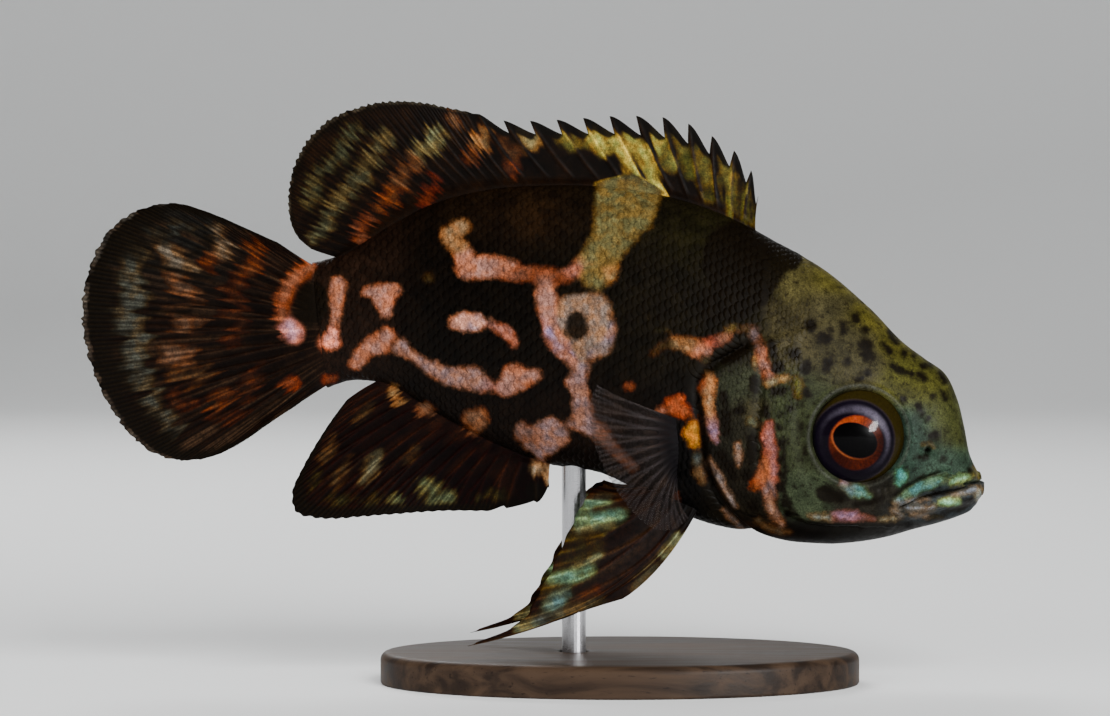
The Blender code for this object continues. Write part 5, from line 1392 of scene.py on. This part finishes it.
for side, word in SIDES:
    lines = paired_lines(PELVIC_RAYS, side, sunk=1.0)
    pelvic = fin_piece(f"pelvic_sheet_{word}", lines, len(PELVIC_RAYS), 84, soft_edge, 1, pelvic_root_half,
                       pelvic_paint)
    finish_fin(pelvic, fin_finish, f"pelvic_fin_{word}")

# Pectoral fins.
# A clear smoky fan behind each gill cover on a fleshy root, with thirteen pale grey forking rays. It is
# cast in tinted clear resin, so the flank shows through it.
PECTORAL_TOP, PECTORAL_BOTTOM, PECTORAL_RAYS = (10.60, -20.0), (10.64, -50.0), 13
PECTORAL_TIPS = [(-2.5, -17.0, 30.8), (-3.2, -18.2, 28.9), (-3.0, -19.0, 26.0), (-2.0, -18.9, 23.2),
                 (-0.6, -18.0, 20.6), (1.2, -16.6, 18.2), (3.2, -14.6, 16.6), (5.2, -12.4, 16.4),
                 (6.6, -10.8, 17.4)]


def pectoral_rays():
    found = []
    for k, tip in enumerate(evenly_along(PECTORAL_TIPS, PECTORAL_RAYS)):
        f = k / (PECTORAL_RAYS - 1)
        station = PECTORAL_TOP[0] + (PECTORAL_BOTTOM[0] - PECTORAL_TOP[0]) * f
        degrees = PECTORAL_TOP[1] + (PECTORAL_BOTTOM[1] - PECTORAL_TOP[1]) * f
        root = body(np.array([station]), np.radians([degrees]))[0] * (1, -1, 1)
        found.append((station, degrees, tuple(tip), tuple((root + tip) / 2 - (0.8, 0, 0))))
    return found


def pectoral_paint(places, p, t):
    fleck = smoothstep(0.1, 0.8, ray_grain(p * 2, t * 3, 0.5, 12))
    return {"share": np.clip(t, 0, 1), "fleck": fleck}


def pectoral_root_half(p):
    return 0.16 + 0.40 * np.sin(pi * p / (PECTORAL_RAYS - 1))


smoky, tree, _ = new_material("smoky_clear_fin", Roughness=0.45, Specular_IOR_Level=0.12)
ray, share, fleck = named(tree, "ray"), named(tree, "share"), named(tree, "fleck")
colour = mixed(tree, ray, (0.012, 0.009, 0.008, 1), (0.036, 0.029, 0.029, 1))
colour = mixed(tree, maths(tree, "MULTIPLY", fleck, 0.5), colour, (0.050, 0.030, 0.020, 1))
colour = mixed(tree, ramp(tree, share, 0.40, 0.10), colour, (0.0050, 0.0042, 0.0050, 1))
membrane_alpha = ramp(tree, share, 0.14, 0.62, 0.97, 0.16)
alpha = maths(tree, "ADD", membrane_alpha, maths(tree, "MULTIPLY", ray, 0.24))
connect(tree, Base_Color=colour, Alpha=maths(tree, "MINIMUM", alpha, 1.0))
for side, word in SIDES:
    lines = paired_lines(pectoral_rays(), side, sunk=0.9)
    pectoral = fin_piece(f"pectoral_sheet_{word}", lines, PECTORAL_RAYS, 56, soft_edge, 0, pectoral_root_half,
                         pectoral_paint, ray_rise=0.09, membrane=0.06)
    finish_fin(pectoral, smoky, f"pectoral_fin_{word}")

# Display stand.
# An oval base turned from dark stained wood, with a softened top edge and a hole for the rod, and one
# brushed steel rod that ends in the belly. The rod stays as the solids have it and only gets its finish.
BASE_LENGTH, BASE_WIDTH, BASE_THICKNESS, BASE_BEVEL = 48.0, 30.0, 3.2, 0.8
HOLE_X, HOLE_RADIUS, HOLE_FLOOR, HOLE_BEVEL = -4.6, 1.5, 1.5, (0.12, 0.15)
FOOT_BEVEL = (0.12, 0.18)
around = np.linspace(0, 2 * pi, 240, endpoint=False)
round_way = np.stack([np.cos(around), np.sin(around), 0 * around], 1)


def base_ring(inset, height):
    return round_way * (BASE_LENGTH / 2 - inset, BASE_WIDTH / 2 - inset, 0) + (0, 0, height)


hole = [round_way * HOLE_RADIUS + (HOLE_X, 0, z) for z in (HOLE_FLOOR, BASE_THICKNESS - HOLE_BEVEL[1])]
hole += [round_way * (HOLE_RADIUS + HOLE_BEVEL[0]) + (HOLE_X, 0, BASE_THICKNESS)]
table = base_ring(BASE_BEVEL, BASE_THICKNESS)
top = [hole[-1] * (1 - share) + table * share for share in (0.02, 0.3, 0.6, 0.98)]
turned = [base_ring(BASE_BEVEL * (1 - sin(radians(a))), BASE_THICKNESS - BASE_BEVEL * (1 - cos(radians(a))))
          for a in range(0, 91, 15)]
side = [base_ring(0, z) for z in (0.30, FOOT_BEVEL[1])] + [base_ring(FOOT_BEVEL[0], 0.0)]
rings = np.array(hole + top + turned + side)
points = np.concatenate([rings.reshape(-1, 3), [(HOLE_X, 0, HOLE_FLOOR)], [(0, 0, 0)]])
faces = grid_faces(len(rings), len(around)).tolist()
last, count = len(rings) * len(around), len(around)
faces += [(last, (j + 1) % count, j) for j in range(count)]
faces += [(last + 1, last - count + j, last - count + (j + 1) % count) for j in range(count)]
base = make_piece("oval_base", points, faces)
base.data.flip_normals()


def stretched_noise(tree, scale, **settings):
    """A noise drawn out along the grain; scale says how many features a metre has along x, y and z."""
    place = node(tree, "TexCoord").outputs["Object"]
    place = node(tree, "Mapping", {"Vector": place, "Scale": scale}).outputs["Vector"]
    return node(tree, "TexNoise", {"Vector": place, "Scale": 1.0, **settings}).outputs["Fac"]


wood, tree, _ = new_material("stained_wood", Specular_IOR_Level=0.12)
grain_lines = stretched_noise(tree, (60, 700, 500), Detail=6.0, Distortion=0.6)
pores = stretched_noise(tree, (500, 6000, 4000), Detail=2.0)
colour = ramp(tree, grain_lines, 0.35, 0.65)
colour = mixed(tree, colour, (0.016, 0.010, 0.007, 1), (0.050, 0.030, 0.018, 1))
colour = mixed(tree, ramp(tree, pores, 0.62, 0.72, 0.0, 0.7), colour, (0.008, 0.005, 0.004, 1))
connect(tree, Base_Color=colour, Roughness=ramp(tree, grain_lines, 0.3, 0.7, 0.42, 0.54),
        Normal=bumpy(tree, pores, 0.3, 0.04))

steel, tree, _ = new_material("brushed_rod", Metallic=1.0)
hairlines = stretched_noise(tree, (3000, 3000, 90000), Detail=3.0)
colour = mixed(tree, hairlines, (0.50, 0.50, 0.52, 1), (0.66, 0.66, 0.68, 1))
connect(tree, Base_Color=colour, Roughness=ramp(tree, hairlines, 0.3, 0.7, 0.24, 0.42),
        Normal=bumpy(tree, hairlines, 0.2, 0.01))
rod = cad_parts["stand_rod"]
rod.data.materials.clear()
rod.data.materials.append(steel)
base.data.materials.append(wood)
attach(base, "root")
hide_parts("stand_base")

# Photographer's table, lights and camera.
# A sheet of pale paper curves up behind the model. Soft lamps stand in front, above and behind, and the
# long lens looks straight at the fish's right side from slightly above.
world = bpy.data.worlds.new("studio")
bpy.context.scene.world = world
world.use_nodes = True
background = world.node_tree.nodes["Background"]
background.inputs["Color"].default_value = (0.86, 0.86, 0.86, 1)
background.inputs["Strength"].default_value = 0.20
FLOOR_FRONT, FLOOR_BACK, FLOOR_HALF, FLOOR_BEND, WALL_TOP = -900.0, 500.0, 1200.0, 260.0, 1500.0
profile = [(FLOOR_FRONT, 0.0), (FLOOR_BACK, 0.0)]
profile += [(FLOOR_BACK + FLOOR_BEND * sin(radians(a)), FLOOR_BEND * (1 - cos(radians(a))))
            for a in range(6, 91, 6)]
profile += [(FLOOR_BACK + FLOOR_BEND, WALL_TOP)]
points = [(x, y, z) for y, z in profile for x in (-FLOOR_HALF, FLOOR_HALF)]
faces = [(2 * i, 2 * i + 1, 2 * i + 3, 2 * i + 2) for i in range(len(profile) - 1)]
floor = make_piece("studio_floor", points, faces)
paper, _, _ = new_material("studio_paper", Base_Color=(0.86, 0.87, 0.87, 1), Roughness=0.9)
floor.data.materials.append(paper)

# Each lamp is (name, place, size, power, lights up colour, shows as a gleam).
LAMPS_AIM = Vector((0, 0, 30))
LIGHTS = [
    ("key", (180, -420, 330), 300, 4.4, True, False),
    ("fill", (-380, -400, 200), 420, 2.0, True, False),
    ("gleam", (353, -445, 137), 75, 5.0, False, True),
    ("rim", (-120, 320, 320), 240, 1.4, True, True),
]
for name, place, size, power, lights, gleams in LIGHTS:
    lamp = bpy.data.lights.new(name, "AREA")
    lamp.size, lamp.energy = size * MM, power
    holder = bpy.data.objects.new(name, lamp)
    bpy.context.scene.collection.objects.link(holder)
    holder.location = Vector(place) * MM
    holder.visible_diffuse, holder.visible_glossy = lights, gleams
    holder.rotation_euler = (LAMPS_AIM - Vector(place)).to_track_quat("-Z", "Y").to_euler()

AIM, CAMERA_DISTANCE, CAMERA_RISE = Vector((VIEW_X, 0, VIEW_Z)), VIEW_DISTANCE, radians(2.5)
lens = bpy.data.cameras.new("camera")
lens.lens, lens.sensor_width, lens.clip_start = 150, 36, 0.01
camera = bpy.data.objects.new("camera", lens)
bpy.context.scene.collection.objects.link(camera)
camera.location = (AIM + Vector((0, -cos(CAMERA_RISE), sin(CAMERA_RISE))) * CAMERA_DISTANCE) * MM
camera.rotation_euler = (AIM * MM - camera.location).to_track_quat("-Z", "Y").to_euler()
bpy.context.scene.camera = camera
